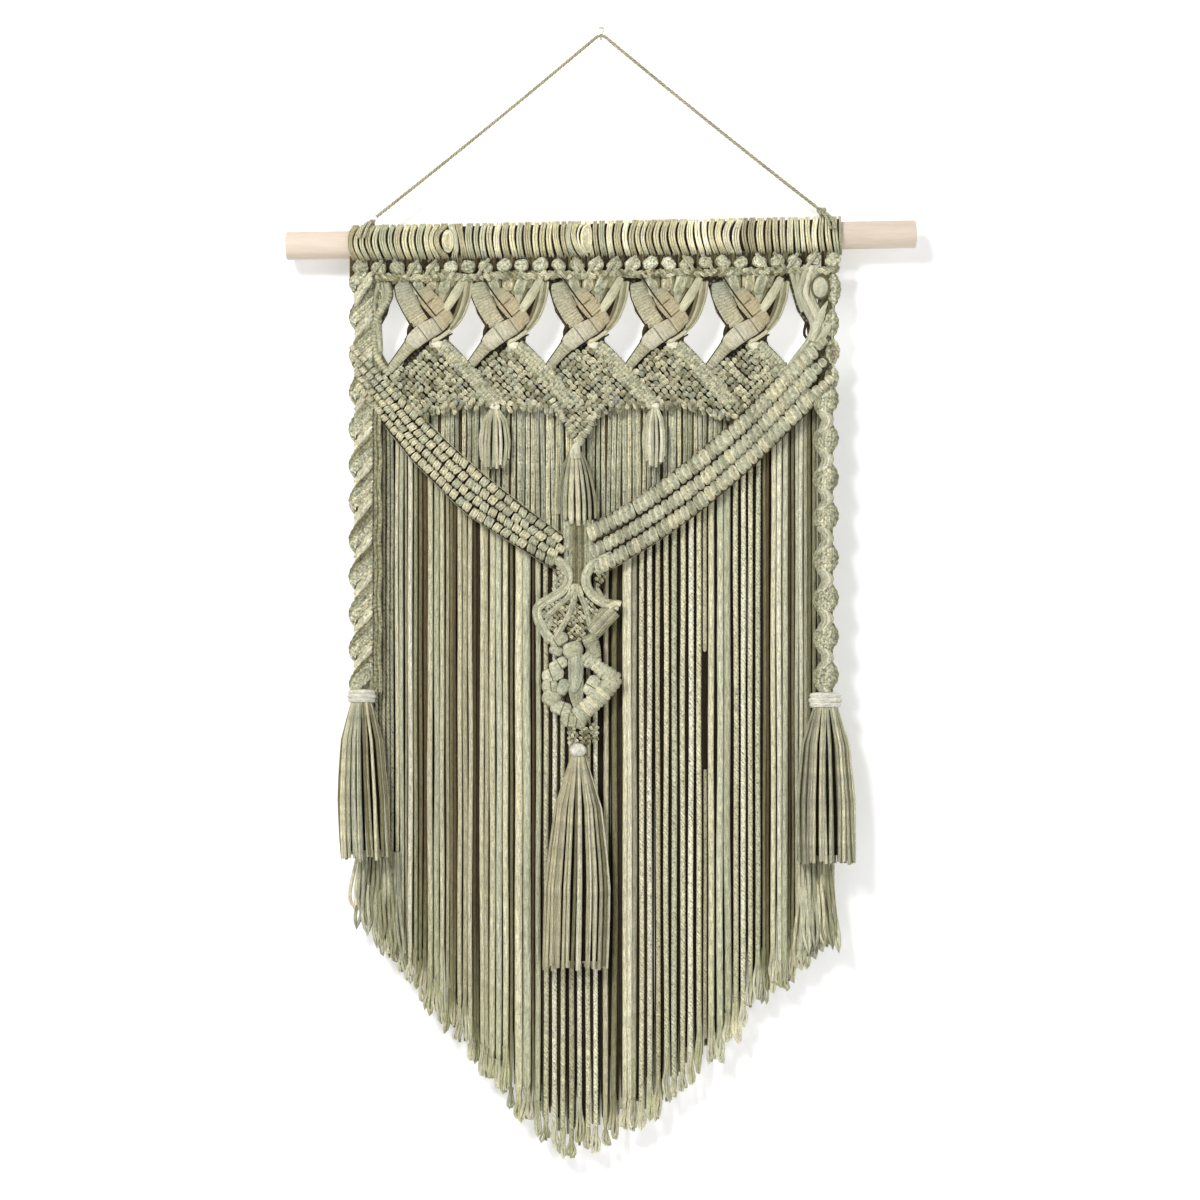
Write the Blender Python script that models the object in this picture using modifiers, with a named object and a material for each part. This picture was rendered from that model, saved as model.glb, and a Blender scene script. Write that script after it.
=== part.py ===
"""A macrame wall hanging: knotted cotton cord on a wooden dowel, hung by a cord from a wire hook.

Metres, +X to the right, +Z up, +Y towards the wall.  The origin is inside the bend of the hook,
where a nail holds the whole piece.  Tables of places give x, z in the plane of the cloth.
"""

import math
import random

import bmesh
import bpy
from mathutils import Vector

# Driving dimensions.
GAP = 0.0003
CORD_RADIUS = 0.002
DOWEL_LENGTH = 0.500
DOWEL_RADIUS = 0.011
DOWEL_DROP = 0.167
DOWEL_TILT = math.radians(1.1)
DOWEL_EASE = 0.0012

# The wraps round the dowel.
HEADING_LEFT = -0.203
HEADING_RIGHT = 0.191
HEADING_WRAPS = 66
WRAP_CREST = 0.0160
WRAP_UNEVEN = 0.0004
WRAP_VALLEY = 0.0138
HEADING_BORE = 0.0124
HEADING_SIDES = 8

# Depths of the two layers of the cloth.
FRONT_LAYER_BACK = -0.0045
STRAND_DEPTH = -0.0006
STRAND_STAGGER = 0.0016
STRIP_THICKNESS = 0.0070
STRIP_HEIGHT = 0.008

# The hanging cord and its hook.
HANGER_RADIUS = 0.0015
HANGER_DEPTH = -0.0027
HANGER_STEP = 0.009
HANGER_SAG = 0.0012
APEX_BEND = 0.006
HOOK_WIRE = 0.0009
APEX_DROP = 0.00515
TIE_LEFT = -0.181
TIE_RIGHT = 0.175
TIE_KNOT = 0.0030
# How far round the heading a tie goes, in degrees from its top: behind, in front, step.
TIE_BEHIND = -50
TIE_FRONT = 75
TIE_STEP = 25

# The six through openings of the lattice: centre x, half width, top z, bottom z.
OPENINGS = (
    (-0.1600, 0.0125, -0.2060, -0.2710),
    (-0.1055, 0.0148, -0.2070, -0.2705),
    (-0.0440, 0.0155, -0.2060, -0.2690),
    (0.0195, 0.0160, -0.2050, -0.2690),
    (0.0835, 0.0172, -0.2050, -0.2720),
    (0.1470, 0.0130, -0.2040, -0.2670),
)
# Share of the way down an opening, and share of its half width, for half of its outline.
OPENING_SHAPE = ((0.0, 0.05), (0.33, 0.45), (0.50, 0.92), (0.67, 1.0), (0.79, 0.82), (1.0, 0.05))

CROSSINGS = (-0.1345, -0.0745, -0.0112, 0.0515, 0.1155)
CROSSING_Z = -0.2470
CROSSING_BAND = 0.0078
CROSSING_STEP = 0.0125
BEADS_LEFT = -0.196
BEADS_RIGHT = 0.188
BEAD_STEP = 0.008
BEAD_DROP = 0.0222
BEAD_HALF = 0.0098
BAR_DROP = 0.0332
# Half of a wrapped band, from its top to the crossing: x, z from the crossing.
ARM = ((-0.0215, 0.0440), (-0.0165, 0.0240), (-0.0092, 0.0110), (0.0, 0.0))
ARM_FOOT = (0.0260, -0.0250)
OUTER_FOOT = (0.0170, -0.0155)

# A raised rib of the zigzag under a crossing: x from the crossing, z.
ZIGZAG = (
    (-0.0260, -0.2770),
    (-0.0110, -0.2885),
    (0.0, -0.2925),
    (0.0110, -0.2885),
    (0.0260, -0.2770),
)

# The left band, four rows of bead knots, and the right band, three ropes: x, middle z, half height.
LEFT_BAND = (
    (-0.1900, -0.2760, 0.0192),
    (-0.1500, -0.3210, 0.0192),
    (-0.1000, -0.3670, 0.0192),
    (-0.0600, -0.3990, 0.0188),
    (-0.0420, -0.4117, 0.0182),
    (-0.0278, -0.4090, 0.0085),
)
RIGHT_BAND = (
    (-0.0060, -0.4065, 0.0150),
    (0.0060, -0.4030, 0.0240),
    (0.0620, -0.3670, 0.0245),
    (0.1270, -0.3120, 0.0245),
    (0.1840, -0.2660, 0.0245),
)
LEFT_BAND_ENDS = (-0.1762, -0.0278)
RIGHT_BAND_ENDS = (-0.0060, 0.1650)
KNOT_PITCH = 0.0078

# Lower edge of the lattice between the bands: x, z.
LATTICE_HEM = (
    (-0.1400, -0.3060),
    (-0.1200, -0.2960),
    (-0.0880, -0.2920),
    (-0.0480, -0.2960),
    (-0.0320, -0.2960),
    (-0.0190, -0.3180),
    (-0.0060, -0.2980),
    (0.0100, -0.2940),
    (0.0420, -0.2930),
    (0.0780, -0.2950),
    (0.1050, -0.3030),
)

# Middle of the strip that carries the long strands: x, z.
STRIP = (
    (-0.1885, -0.2900),
    (-0.1500, -0.3310),
    (-0.1000, -0.3770),
    (-0.0600, -0.4090),
    (-0.0180, -0.4330),
    (-0.0060, -0.4250),
    (0.0620, -0.3820),
    (0.1270, -0.3290),
    (0.1845, -0.2860),
)
CURTAIN_LEFT = -0.1865
CURTAIN_RIGHT = 0.1825
CURTAIN_STRANDS = 87
INNER_LEFT = -0.1420
INNER_RIGHT = 0.1060
INNER_STRANDS = 50

# Where the long strands end: x, z.
HEM = (
    (-0.1900, -0.7040),
    (-0.1600, -0.7420),
    (-0.1330, -0.7785),
    (-0.1085, -0.8060),
    (-0.0815, -0.8430),
    (-0.0590, -0.8650),
    (-0.0330, -0.8855),
    (-0.0190, -0.8940),
    (0.0000, -0.8870),
    (0.0260, -0.8665),
    (0.0485, -0.8550),
    (0.0700, -0.8285),
    (0.1030, -0.8045),
    (0.1270, -0.7705),
    (0.1500, -0.7545),
    (0.1720, -0.7300),
    (0.1890, -0.7220),
)

SINNET_LEFT = -0.1883
SINNET_RIGHT = 0.1773
SINNET_DROP = 0.0366
SINNET_BOTTOM = -0.5240
SINNET_HALF_WIDTH = 0.0105
SINNET_HALF_DEPTH = 0.0068
SINNET_TURN = 0.058
SINNET_DEPTH = -0.0152

# The bundle of cords between the two bands: x, z, share of its full width.
ORNAMENT_STEM = (
    (-0.0169, -0.3935, 0.96),
    (-0.0169, -0.4120, 1.0),
    (-0.0180, -0.4250, 0.80),
    (-0.0205, -0.4460, 0.55),
)

PALETTE = {
    "sage": ((0.47, 0.45, 0.33), 0.85),
    "cream": ((0.60, 0.54, 0.40), 0.85),
    "grey_green": ((0.46, 0.47, 0.38), 0.85),
    "beech": ((0.80, 0.68, 0.53), 0.55),
    "khaki": ((0.38, 0.34, 0.21), 0.80),
    "steel": ((0.55, 0.52, 0.44), 0.35),
}


def between(table, x, column=1):
    """What a column of the table gives at x, in straight runs and level past its ends."""
    if x <= table[0][0]:
        return table[0][column]
    for low, high in zip(table, table[1:]):
        if x <= high[0]:
            return low[column] + (high[column] - low[column]) * (x - low[0]) / (high[0] - low[0])
    return table[-1][column]


def upper_edge(band, x):
    return between(band, x) + between(band, x, 2)


def dowel_z(x):
    return -DOWEL_DROP + x * math.tan(DOWEL_TILT)


def smooth_route(points, step):
    """Points a step apart on a smooth curve through the given ones."""
    ends = [points[0] * 2 - points[1], *points, points[-1] * 2 - points[-2]]
    fine = []
    for a, b, c, d in zip(ends, ends[1:], ends[2:], ends[3:]):
        for i in range(24):
            t = i / 24
            fine.append(
                0.5 * (2 * b + (c - a) * t + (2 * a - 5 * b + 4 * c - d) * t**2
                       + (3 * b - a - 3 * c + d) * t**3)
            )
    fine.append(points[-1])
    length = sum((b - a).length for a, b in zip(fine, fine[1:]))
    count = max(1, round(length / step))
    route, walked, wanted = [fine[0]], 0.0, 1
    for a, b in zip(fine, fine[1:]):
        run = (b - a).length
        while wanted < count and walked + run >= wanted * length / count:
            route.append(a.lerp(b, (wanted * length / count - walked) / run))
            wanted += 1
        walked += run
    route.append(fine[-1])
    return route


def in_plane(places, depth):
    return [Vector((x, depth, z)) for x, z in places]


def new_collection(name):
    collection = bpy.data.collections.new(name)
    bpy.context.scene.collection.children.link(collection)
    return collection


def clear_scene():
    for thing in list(bpy.data.objects):
        bpy.data.objects.remove(thing, do_unlink=True)


def finish(piece, name, colour):
    """Names the piece, smooths its round faces and gives it its own material."""
    piece.name = name
    piece.data.name = name
    base, roughness = PALETTE[colour]
    material = bpy.data.materials.new(name)
    material.use_nodes = True
    shader = material.node_tree.nodes["Principled BSDF"]
    shader.inputs["Base Color"].default_value = (*base, 1.0)
    shader.inputs["Roughness"].default_value = roughness
    shader.inputs["Metallic"].default_value = 0.7 if colour == "steel" else 0.0
    piece.data.materials.clear()
    piece.data.materials.append(material)
    piece.data.shade_smooth()
    piece.data.set_sharp_from_angle(angle=math.radians(50))
    return piece


def link(name, data):
    piece = bpy.data.objects.new(name, data)
    HANGING.objects.link(piece)
    return piece


def tube(name, routes, radius, resolution=1, section=None):
    """A curve with one filled poly spline for each route of (point, thickness, tilt)."""
    curve = bpy.data.curves.new(name, "CURVE")
    curve.dimensions = "3D"
    curve.bevel_resolution = resolution
    if section is None:
        curve.bevel_depth = radius
    else:
        curve.bevel_mode = "OBJECT"
        curve.bevel_object = section
    curve.use_fill_caps = True
    for route in routes:
        spline = curve.splines.new("POLY")
        spline.points.add(len(route) - 1)
        for point, (place, thickness, tilt) in zip(spline.points, route):
            point.co = (*place, 1.0)
            point.radius = thickness
            point.tilt = tilt
    return link(name, curve)


def even(points, thickness=1.0):
    return [(point, thickness, 0.0) for point in points]


def ridged(points, low=0.8):
    """A route whose thickness rises and falls at each point, as knots on a cord."""
    return [(point, low if i % 2 else 1.0, 0.0) for i, point in enumerate(points)]


def flattened(piece, depth, share):
    """Squeezes a piece front to back round the plane y = depth."""
    piece.scale.y = share
    piece.location.y = depth * (1 - share)
    return piece


def to_mesh(piece):
    """The piece with its curve and modifiers turned into one plain mesh in world space."""
    bpy.context.view_layer.update()
    graph = bpy.context.evaluated_depsgraph_get()
    mesh = bpy.data.meshes.new_from_object(piece.evaluated_get(graph))
    mesh.transform(piece.matrix_world)
    shape = bmesh.new()
    shape.from_mesh(mesh)
    bmesh.ops.remove_doubles(shape, verts=shape.verts, dist=1e-7)
    bmesh.ops.recalc_face_normals(shape, faces=shape.faces)
    shape.to_mesh(mesh)
    shape.free()
    name = piece.name
    bpy.data.objects.remove(piece, do_unlink=True)
    return link(name, mesh)


def fuse(name, pieces, crossing=False):
    """One solid from pieces that overlap; crossing says that a piece also runs through itself."""
    solids = [to_mesh(piece) for piece in pieces]
    base, others = solids[0], solids[1:]
    joined = bpy.data.collections.new("joined")
    for other in others:
        joined.objects.link(other)
    join = base.modifiers.new("join", "BOOLEAN")
    join.operation = "UNION"
    join.solver = "EXACT"
    join.use_self = crossing
    join.operand_type = "COLLECTION"
    join.collection = joined
    whole = to_mesh(base)
    for other in others:
        bpy.data.objects.remove(other, do_unlink=True)
    bpy.data.collections.remove(joined)
    whole.name = name
    return whole


def plate(name, outline, back, front, holes=()):
    """A flat sheet from an outline of x, z with holes, between two depths."""
    curve = bpy.data.curves.new(name, "CURVE")
    curve.dimensions = "2D"
    curve.fill_mode = "BOTH"
    curve.extrude = (back - front) / 2
    for ring in (outline, *holes):
        spline = curve.splines.new("POLY")
        spline.points.add(len(ring) - 1)
        for point, (x, z) in zip(spline.points, ring):
            point.co = (x, z, 0.0, 1.0)
        spline.use_cyclic_u = True
    sheet = link(name, curve)
    sheet.rotation_euler.x = math.pi / 2
    sheet.location.y = (back + front) / 2
    return sheet


def turned(name, profile, steps, centre):
    """A shape turned about a vertical axis from a profile of radius, z, top to bottom."""
    mesh = bpy.data.meshes.new(name)
    edges = [(i, i + 1) for i in range(len(profile) - 1)]
    mesh.from_pydata([(r, 0.0, z) for r, z in profile], edges, [])
    piece = link(name, mesh)
    piece.location = centre
    screw = piece.modifiers.new("turn", "SCREW")
    screw.steps = screw.render_steps = steps
    screw.use_merge_vertices = True
    screw.merge_threshold = 0.00001
    return piece


def loft(name, rings):
    """A closed solid through rings of as many points each, capped at both ends."""
    shape = bmesh.new()
    rows = [[shape.verts.new(point) for point in ring] for ring in rings]
    for row, after in zip(rows, rows[1:]):
        for i in range(len(row)):
            j = (i + 1) % len(row)
            shape.faces.new((row[i], row[j], after[j], after[i]))
    shape.faces.new(reversed(rows[0]))
    shape.faces.new(rows[-1])
    bmesh.ops.recalc_face_normals(shape, faces=shape.faces)
    mesh = bpy.data.meshes.new(name)
    shape.to_mesh(mesh)
    shape.free()
    return link(name, mesh)


def make_dowel():
    bpy.ops.mesh.primitive_cylinder_add(vertices=24, radius=DOWEL_RADIUS, depth=DOWEL_LENGTH)
    dowel = bpy.context.object
    for collection in list(dowel.users_collection):
        collection.objects.unlink(dowel)
    HANGING.objects.link(dowel)
    dowel.rotation_euler.y = math.pi / 2 - DOWEL_TILT
    dowel.location.z = -DOWEL_DROP
    ease = dowel.modifiers.new("eased ends", "BEVEL")
    ease.width = DOWEL_EASE
    ease.segments = 2
    ease.limit_method = "ANGLE"
    ease.angle_limit = math.radians(60)
    finish(dowel, "dowel", "beech")


def make_heading():
    """The sleeve of lark's-head wraps: a ridge for each wrap, some fatter than others."""
    uneven = random.Random(3)
    pitch = (HEADING_RIGHT - HEADING_LEFT) / HEADING_WRAPS
    outer = [(WRAP_VALLEY, HEADING_RIGHT)]
    for i in range(HEADING_WRAPS):
        crest = WRAP_CREST - uneven.uniform(0, 1.6) * WRAP_UNEVEN
        end = HEADING_RIGHT - pitch * i
        outer.append((crest, end - pitch * 0.5))
        outer.append((WRAP_VALLEY, end - pitch))
    profile = [*outer, (HEADING_BORE, HEADING_LEFT), (HEADING_BORE, HEADING_RIGHT), outer[0]]
    sleeve = turned("heading", profile, HEADING_SIDES, (0, 0, -DOWEL_DROP))
    sleeve.rotation_euler.y = math.pi / 2 - DOWEL_TILT
    finish(to_mesh(sleeve), "heading", "sage")


def hanger_leg(tie, bend):
    """One side of the hanging cord, from just clear of its knot to the bend, with a slight sag."""
    knot = tie_knot(tie)
    start = knot + (bend - knot).normalized() * (TIE_KNOT + GAP + 0.0002)
    count = round((bend - start).length / HANGER_STEP)
    leg = []
    for i in range(count + 1):
        point = start.lerp(bend, i / count)
        point.z -= HANGER_SAG * math.sin(math.pi * i / count)
        leg.append(point)
    return leg


def hanger_route():
    """The hanging cord from the left knot over the foot of the hook to the right knot."""
    arc = []
    for turn in (-38.5, -20.0, 0.0, 20.0, 38.5):
        angle = math.radians(turn)
        rise = APEX_BEND * (math.cos(angle) - 1)
        arc.append(Vector((APEX_BEND * math.sin(angle), HANGER_DEPTH, rise - APEX_DROP)))
    left = hanger_leg(TIE_LEFT, arc[0])
    right = hanger_leg(TIE_RIGHT, arc[-1])
    return [*left, *arc[1:-1], *reversed(right)]


def tie_knot(x):
    return Vector((x, HANGER_DEPTH, dowel_z(x) + WRAP_CREST + GAP + TIE_KNOT))


def make_hanger():
    cord = tube("hanger_cord", [even(hanger_route())], HANGER_RADIUS, resolution=2)
    finish(to_mesh(cord), "hanger_cord", "khaki")
    bend = 0.0019
    behind = HANGER_DEPTH + HANGER_RADIUS + HOOK_WIRE + GAP + 0.0001
    under = -APEX_DROP - HANGER_RADIUS - HOOK_WIRE - GAP - 0.0002
    route = [
        Vector((-bend * math.cos(a), behind, bend * math.sin(a)))
        for a in (math.radians(d) for d in (40, 75, 110, 145, 180, 215, 245))
    ]
    route += [
        Vector((0.0, behind, -0.0045)),
        Vector((0.0, behind, under + 0.0020)),
        Vector((0.0, behind - 0.0008, under + 0.0004)),
        Vector((0.0, HANGER_DEPTH, under)),
        Vector((0.0, HANGER_DEPTH - 0.0018, under + 0.0006)),
    ]
    finish(to_mesh(tube("hanger_hook", [even(route)], HOOK_WIRE)), "hanger_hook", "steel")


def make_tie(name, x, lean):
    """A knot on top of the heading and the cord that it ties over the first wraps."""
    reach = WRAP_CREST + GAP + HANGER_RADIUS
    over = []
    for turn in range(TIE_BEHIND, TIE_FRONT + 1, TIE_STEP):
        angle = math.radians(turn)
        along = x + lean * max(0, turn) / TIE_FRONT
        over.append(Vector((along, reach * math.sin(-angle), dowel_z(along) + reach * math.cos(angle))))
    loop = tube(name, [even(over)], HANGER_RADIUS)
    bpy.ops.mesh.primitive_ico_sphere_add(subdivisions=1, radius=TIE_KNOT, location=tie_knot(x))
    knot = bpy.context.object
    for collection in list(knot.users_collection):
        collection.objects.unlink(knot)
    HANGING.objects.link(knot)
    finish(fuse(name, [loop, knot]), name, "khaki")


def opening_outline(centre, half, top, bottom):
    right = [(centre + half * out, top + (bottom - top) * down) for down, out in OPENING_SHAPE]
    left = [(2 * centre - x, z) for x, z in reversed(right)]
    return right + left


def make_lattice():
    """Bead row, knotted bar, five crossings of wrapped bands and the knotted zigzag below."""
    left, right = LEFT_BAND_ENDS[0], RIGHT_BAND_ENDS[1]
    clear = 0.0005
    left_rim = [(x, z + half + clear) for x, z, half in LEFT_BAND if left < x < LATTICE_HEM[0][0]]
    right_rim = [(x, z + half + clear) for x, z, half in RIGHT_BAND if LATTICE_HEM[-1][0] < x < right]
    outline = [
        (left, -0.1960),
        (left, upper_edge(LEFT_BAND, left) + clear),
        *left_rim,
        *LATTICE_HEM,
        *right_rim,
        (right, upper_edge(RIGHT_BAND, right) + clear),
        (right, -0.1900),
    ]
    holes = [opening_outline(*opening) for opening in OPENINGS]
    sheet = plate("sheet", outline, FRONT_LAYER_BACK, FRONT_LAYER_BACK - 0.003, holes)
    count = round((BEADS_RIGHT - BEADS_LEFT) / BEAD_STEP)
    places = [BEADS_LEFT + BEAD_STEP * i for i in range(count + 1)]
    beads = [Vector((x, -0.0080, dowel_z(x) - BEAD_DROP)) for x in places]
    row = flattened(tube("beads", [ridged(beads, 0.84)], BEAD_HALF), -0.0080, 0.38)
    bar_line = [Vector((x, -0.0088, dowel_z(x) - BAR_DROP)) for x in (places[0], places[-1])]
    bar = tube("bar", [even(bar_line)], 0.0034)
    pieces = [sheet, row, bar]
    last = len(CROSSINGS) - 1
    for number, middle in enumerate(CROSSINGS):
        for side, depth in ((1, -0.0078), (-1, -0.0100)):
            outer = (number == last and side == 1) or (number == 0 and side == -1)
            foot = OUTER_FOOT if outer else ARM_FOOT
            places = [*ARM, foot]
            line = in_plane([(middle + side * x, CROSSING_Z + z) for x, z in places], depth)
            band = tube("band", [ridged(smooth_route(line, CROSSING_STEP), 0.86)], CROSSING_BAND)
            pieces.append(flattened(band, depth, 0.40))
        if number < last:
            places = [(middle + x, z) for x, z in ZIGZAG]
            rib = tube("rib", [even(in_plane(places, -0.0078))], 0.0046, resolution=0)
            pieces.append(flattened(rib, -0.0078, 0.60))
    finish(fuse("lattice", pieces), "lattice", "cream")


def lobed_ring(x, middle, half, lobes, swell_phase):
    """An upright slice through side-by-side ropes: flat back, one lobe for each rope."""
    back = FRONT_LAYER_BACK
    width = 2 * half / lobes
    ring = [Vector((x, back, middle + half)), Vector((x, back - 0.0030, middle + half))]
    for lobe in range(lobes):
        crest = 0.0086 if (lobe + swell_phase) % 2 else 0.0070
        start = middle + half - lobe * width
        ring.append(Vector((x, back - crest, start - width * 0.26)))
        ring.append(Vector((x, back - crest, start - width * 0.74)))
        ring.append(Vector((x, back - 0.0030, start - width)))
    ring.append(Vector((x, back, middle - half)))
    return ring


def make_band(name, band, lobes, ends):
    start, end = ends
    slices = round((end - start) / KNOT_PITCH * 2)
    rings = []
    for i in range(slices + 1):
        x = start + (end - start) * i / slices
        rings.append(lobed_ring(x, between(band, x), between(band, x, 2), lobes, i))
    finish(loft(name, rings), name, "sage")


def carrier(name, line, height):
    """The narrow strip that the tops of the strands are fused into."""
    upper = [(x, z + height / 2) for x, z in line]
    lower = [(x, z - height / 2) for x, z in reversed(line)]
    back = STRAND_DEPTH + STRIP_THICKNESS / 2
    return plate(name, [*upper, *lower], back, back - STRIP_THICKNESS)


def strand_places(left, right, count):
    """Even places across, in two staggered layers: x, y."""
    pitch = (right - left) / (count - 1)
    for i in range(count):
        yield left + pitch * i, STRAND_DEPTH + (STRAND_STAGGER if i % 2 else -STRAND_STAGGER)


def make_curtain():
    uneven = random.Random(11)
    routes = []
    inset = 0.003
    for x, y in strand_places(CURTAIN_LEFT + inset, CURTAIN_RIGHT - inset, CURTAIN_STRANDS):
        top = between(STRIP, x)
        foot = between(HEM, x) + uneven.uniform(-0.004, 0.007)
        sway = 0.0012 * math.sin(x * 140)
        routes.append([
            (Vector((x, y, top)), 0.9, 0.0),
            (Vector((x + sway * 0.5, y, foot + 0.030)), 0.95, 0.0),
            (Vector((x + sway, y, foot + 0.010)), 1.15, 0.0),
            (Vector((x + sway, y, foot)), 0.75, 0.0),
        ])
    strands = tube("strands", routes, CORD_RADIUS, resolution=0)
    strip = carrier("strip", STRIP, STRIP_HEIGHT)
    finish(fuse("curtain", [strip, strands]), "curtain", "sage")


def make_inner_strands():
    """The fine cords that fill the V, from behind the lattice to behind the bands."""
    top = -0.2850
    routes = []
    for x, y in strand_places(INNER_LEFT, INNER_RIGHT, INNER_STRANDS):
        band = LEFT_BAND if x < (LEFT_BAND_ENDS[1] + RIGHT_BAND_ENDS[0]) / 2 else RIGHT_BAND
        edge = upper_edge(band, x)
        routes.append(even([Vector((x, y, top)), Vector((x, y, edge - 0.008))], 0.9))
    strands = tube("strands", routes, CORD_RADIUS, resolution=0)
    line = ((INNER_LEFT - 0.003, top), (INNER_RIGHT + 0.003, top))
    strip = carrier("strip", line, STRIP_HEIGHT)
    finish(fuse("inner_strands", [strip, strands]), "inner_strands", "grey_green")


def ellipse_section(name, half_width, half_depth, points):
    curve = bpy.data.curves.new(name, "CURVE")
    curve.dimensions = "2D"
    spline = curve.splines.new("POLY")
    spline.points.add(points - 1)
    for i, point in enumerate(spline.points):
        angle = 2 * math.pi * i / points
        point.co = (half_width * math.cos(angle), half_depth * math.sin(angle), 0.0, 1.0)
    spline.use_cyclic_u = True
    section = bpy.data.objects.new(name, curve)
    GUIDES.objects.link(section)
    section.hide_render = True
    section.display_type = "WIRE"
    return section


def make_sinnet(name, x, hand):
    """A flat bundle of half knots that turns as it goes down."""
    section = ellipse_section(name + "_section", SINNET_HALF_WIDTH, SINNET_HALF_DEPTH, 6)
    top = dowel_z(x) - SINNET_DROP
    steps = round((top - SINNET_BOTTOM) / (SINNET_TURN / 8))
    route = []
    for i in range(steps + 1):
        z = top + (SINNET_BOTTOM - top) * i / steps
        slim = 0.75 if i in (0, steps) else 1.0
        route.append((Vector((x, SINNET_DEPTH, z)), slim, hand * 2 * math.pi * i / 8))
    finish(to_mesh(tube(name, [route], 0.0, section=section)), name, "sage")


def make_tassel(name, colour, head, head_size, skirt, count, depth_share):
    """A tied head and the skirt of strands fused into it: skirt is length, half width, lean."""
    radius, height = head_size
    length, half_width, lean = skirt
    profile = [
        (0.0, 0.0), (radius * 0.62, -height * 0.08), (radius, -height * 0.35),
        (radius * 0.80, -height * 0.68), (radius * 0.95, -height), (0.0, -height * 1.02),
    ]
    cap = turned(name + "_head", profile, 8, head)
    cap.scale.y = depth_share + 0.15
    routes = []
    for i in range(count):
        angle = 2 * math.pi * (i + 0.5) / count
        inner = 0.86 if i % 2 else 1.0
        out, back = math.cos(angle) * inner, math.sin(angle) * inner
        shape = (
            (height * 0.80, radius * 0.62, 0.50),
            (length * 0.45, half_width * 0.84, 0.95),
            (length, half_width, 1.0),
        )
        route = []
        for down, spread, thickness in shape:
            shift = lean * (down / length) ** 2
            place = Vector((out * spread + shift, back * spread * depth_share, -down))
            route.append((head + place, thickness, 0.0))
        routes.append(route)
    strands = tube(name + "_skirt", routes, CORD_RADIUS * 0.8, resolution=0)
    finish(fuse(name, [cap, strands], crossing=True), name, colour)


def make_ornament():
    """The knotted centre piece: stem, two curls, leaves, bead and pentagon loop."""
    depth = -0.0092
    # Each cord of it: half thickness, ridged or not, and its route in x, z.
    cords = (
        (0.0032, False, ((-0.0325, -0.4285), (-0.0290, -0.4340), (-0.0310, -0.4449),
                         (-0.0440, -0.4560), (-0.0515, -0.4610))),
        (0.0032, True, ((-0.0035, -0.4275), (-0.0110, -0.4345), (-0.0130, -0.4450),
                        (-0.0040, -0.4529), (0.0087, -0.4590))),
        (0.0040, False, ((-0.0214, -0.4450), (-0.0357, -0.4570), (-0.0460, -0.4690),
                         (-0.0412, -0.4846))),
        (0.0036, False, ((-0.0212, -0.4480), (-0.0300, -0.4680), (-0.0357, -0.4845))),
        (0.0050, False, ((-0.0205, -0.4480), (-0.0215, -0.4680), (-0.0215, -0.4860))),
        (0.0036, False, ((-0.0190, -0.4460), (-0.0120, -0.4600), (-0.0087, -0.4720))),
        (0.0055, True, ((0.0078, -0.4610), (-0.0040, -0.4800), (-0.0087, -0.5020))),
        (0.0078, False, ((-0.0300, -0.4925), (-0.0230, -0.4925), (-0.0160, -0.4925))),
        (0.0048, True, ((-0.0270, -0.4990), (-0.0420, -0.5123), (-0.0428, -0.5281),
                        (-0.0325, -0.5400), (-0.0222, -0.5480))),
        (0.0048, True, ((-0.0119, -0.5010), (0.0040, -0.5130), (0.0040, -0.5250),
                        (-0.0080, -0.5370), (-0.0222, -0.5480))),
        (0.0055, False, ((-0.0222, -0.4964), (-0.0210, -0.5180), (-0.0212, -0.5400))),
        (0.0030, False, ((-0.0400, -0.5200), (-0.0300, -0.5215), (-0.0220, -0.5180))),
        (0.0030, False, ((0.0020, -0.5200), (-0.0087, -0.5226), (-0.0200, -0.5180))),
        (0.0058, False, ((-0.0222, -0.5450), (-0.0215, -0.5560), (-0.0200, -0.5680))),
    )
    stem = [(Vector((x, depth, z)), wide, 0.0) for x, z, wide in ORNAMENT_STEM]
    pieces = [flattened(tube("stem", [stem], 0.0102), depth, 0.40)]
    for radius, knotted, places in cords:
        route = smooth_route(in_plane(places, depth), 0.0070)
        cord = tube("cord", [ridged(route, 0.78) if knotted else even(route)], radius)
        pieces.append(flattened(cord, depth, 0.0042 / max(radius, 0.0042)))
    finish(fuse("ornament", pieces), "ornament", "sage")


clear_scene()
HANGING = new_collection("macrame_wall_hanging")
GUIDES = new_collection("guides")

make_dowel()
make_heading()
make_hanger()
make_tie("hanger_tie_left", TIE_LEFT, -0.008)
make_tie("hanger_tie_right", TIE_RIGHT, 0.008)
make_lattice()
make_inner_strands()
make_band("band_left", LEFT_BAND, 4, LEFT_BAND_ENDS)
make_band("band_right", RIGHT_BAND, 3, RIGHT_BAND_ENDS)
make_curtain()
make_sinnet("sinnet_left", SINNET_LEFT, 1)
make_sinnet("sinnet_right", SINNET_RIGHT, -1)
make_tassel("tassel_side_left", "cream", Vector((-0.1890, -0.0130, -0.5244)), (0.0108, 0.0100),
            (0.1320, 0.0195, 0.0030), 18, 0.38)
make_tassel("tassel_side_right", "cream", Vector((0.1771, -0.0130, -0.5244)), (0.0122, 0.0115),
            (0.1360, 0.0225, 0.0010), 20, 0.34)
make_tassel("tassel_centre", "cream", Vector((-0.0190, -0.0130, -0.5690)), (0.0075, 0.0110),
            (0.1755, 0.0255, -0.0020), 22, 0.32)
make_tassel("tassel_upper", "grey_green", Vector((-0.0190, -0.0092, -0.3190)), (0.0050, 0.0100),
            (0.0690, 0.0135, 0.0020), 10, 0.30)
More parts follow.
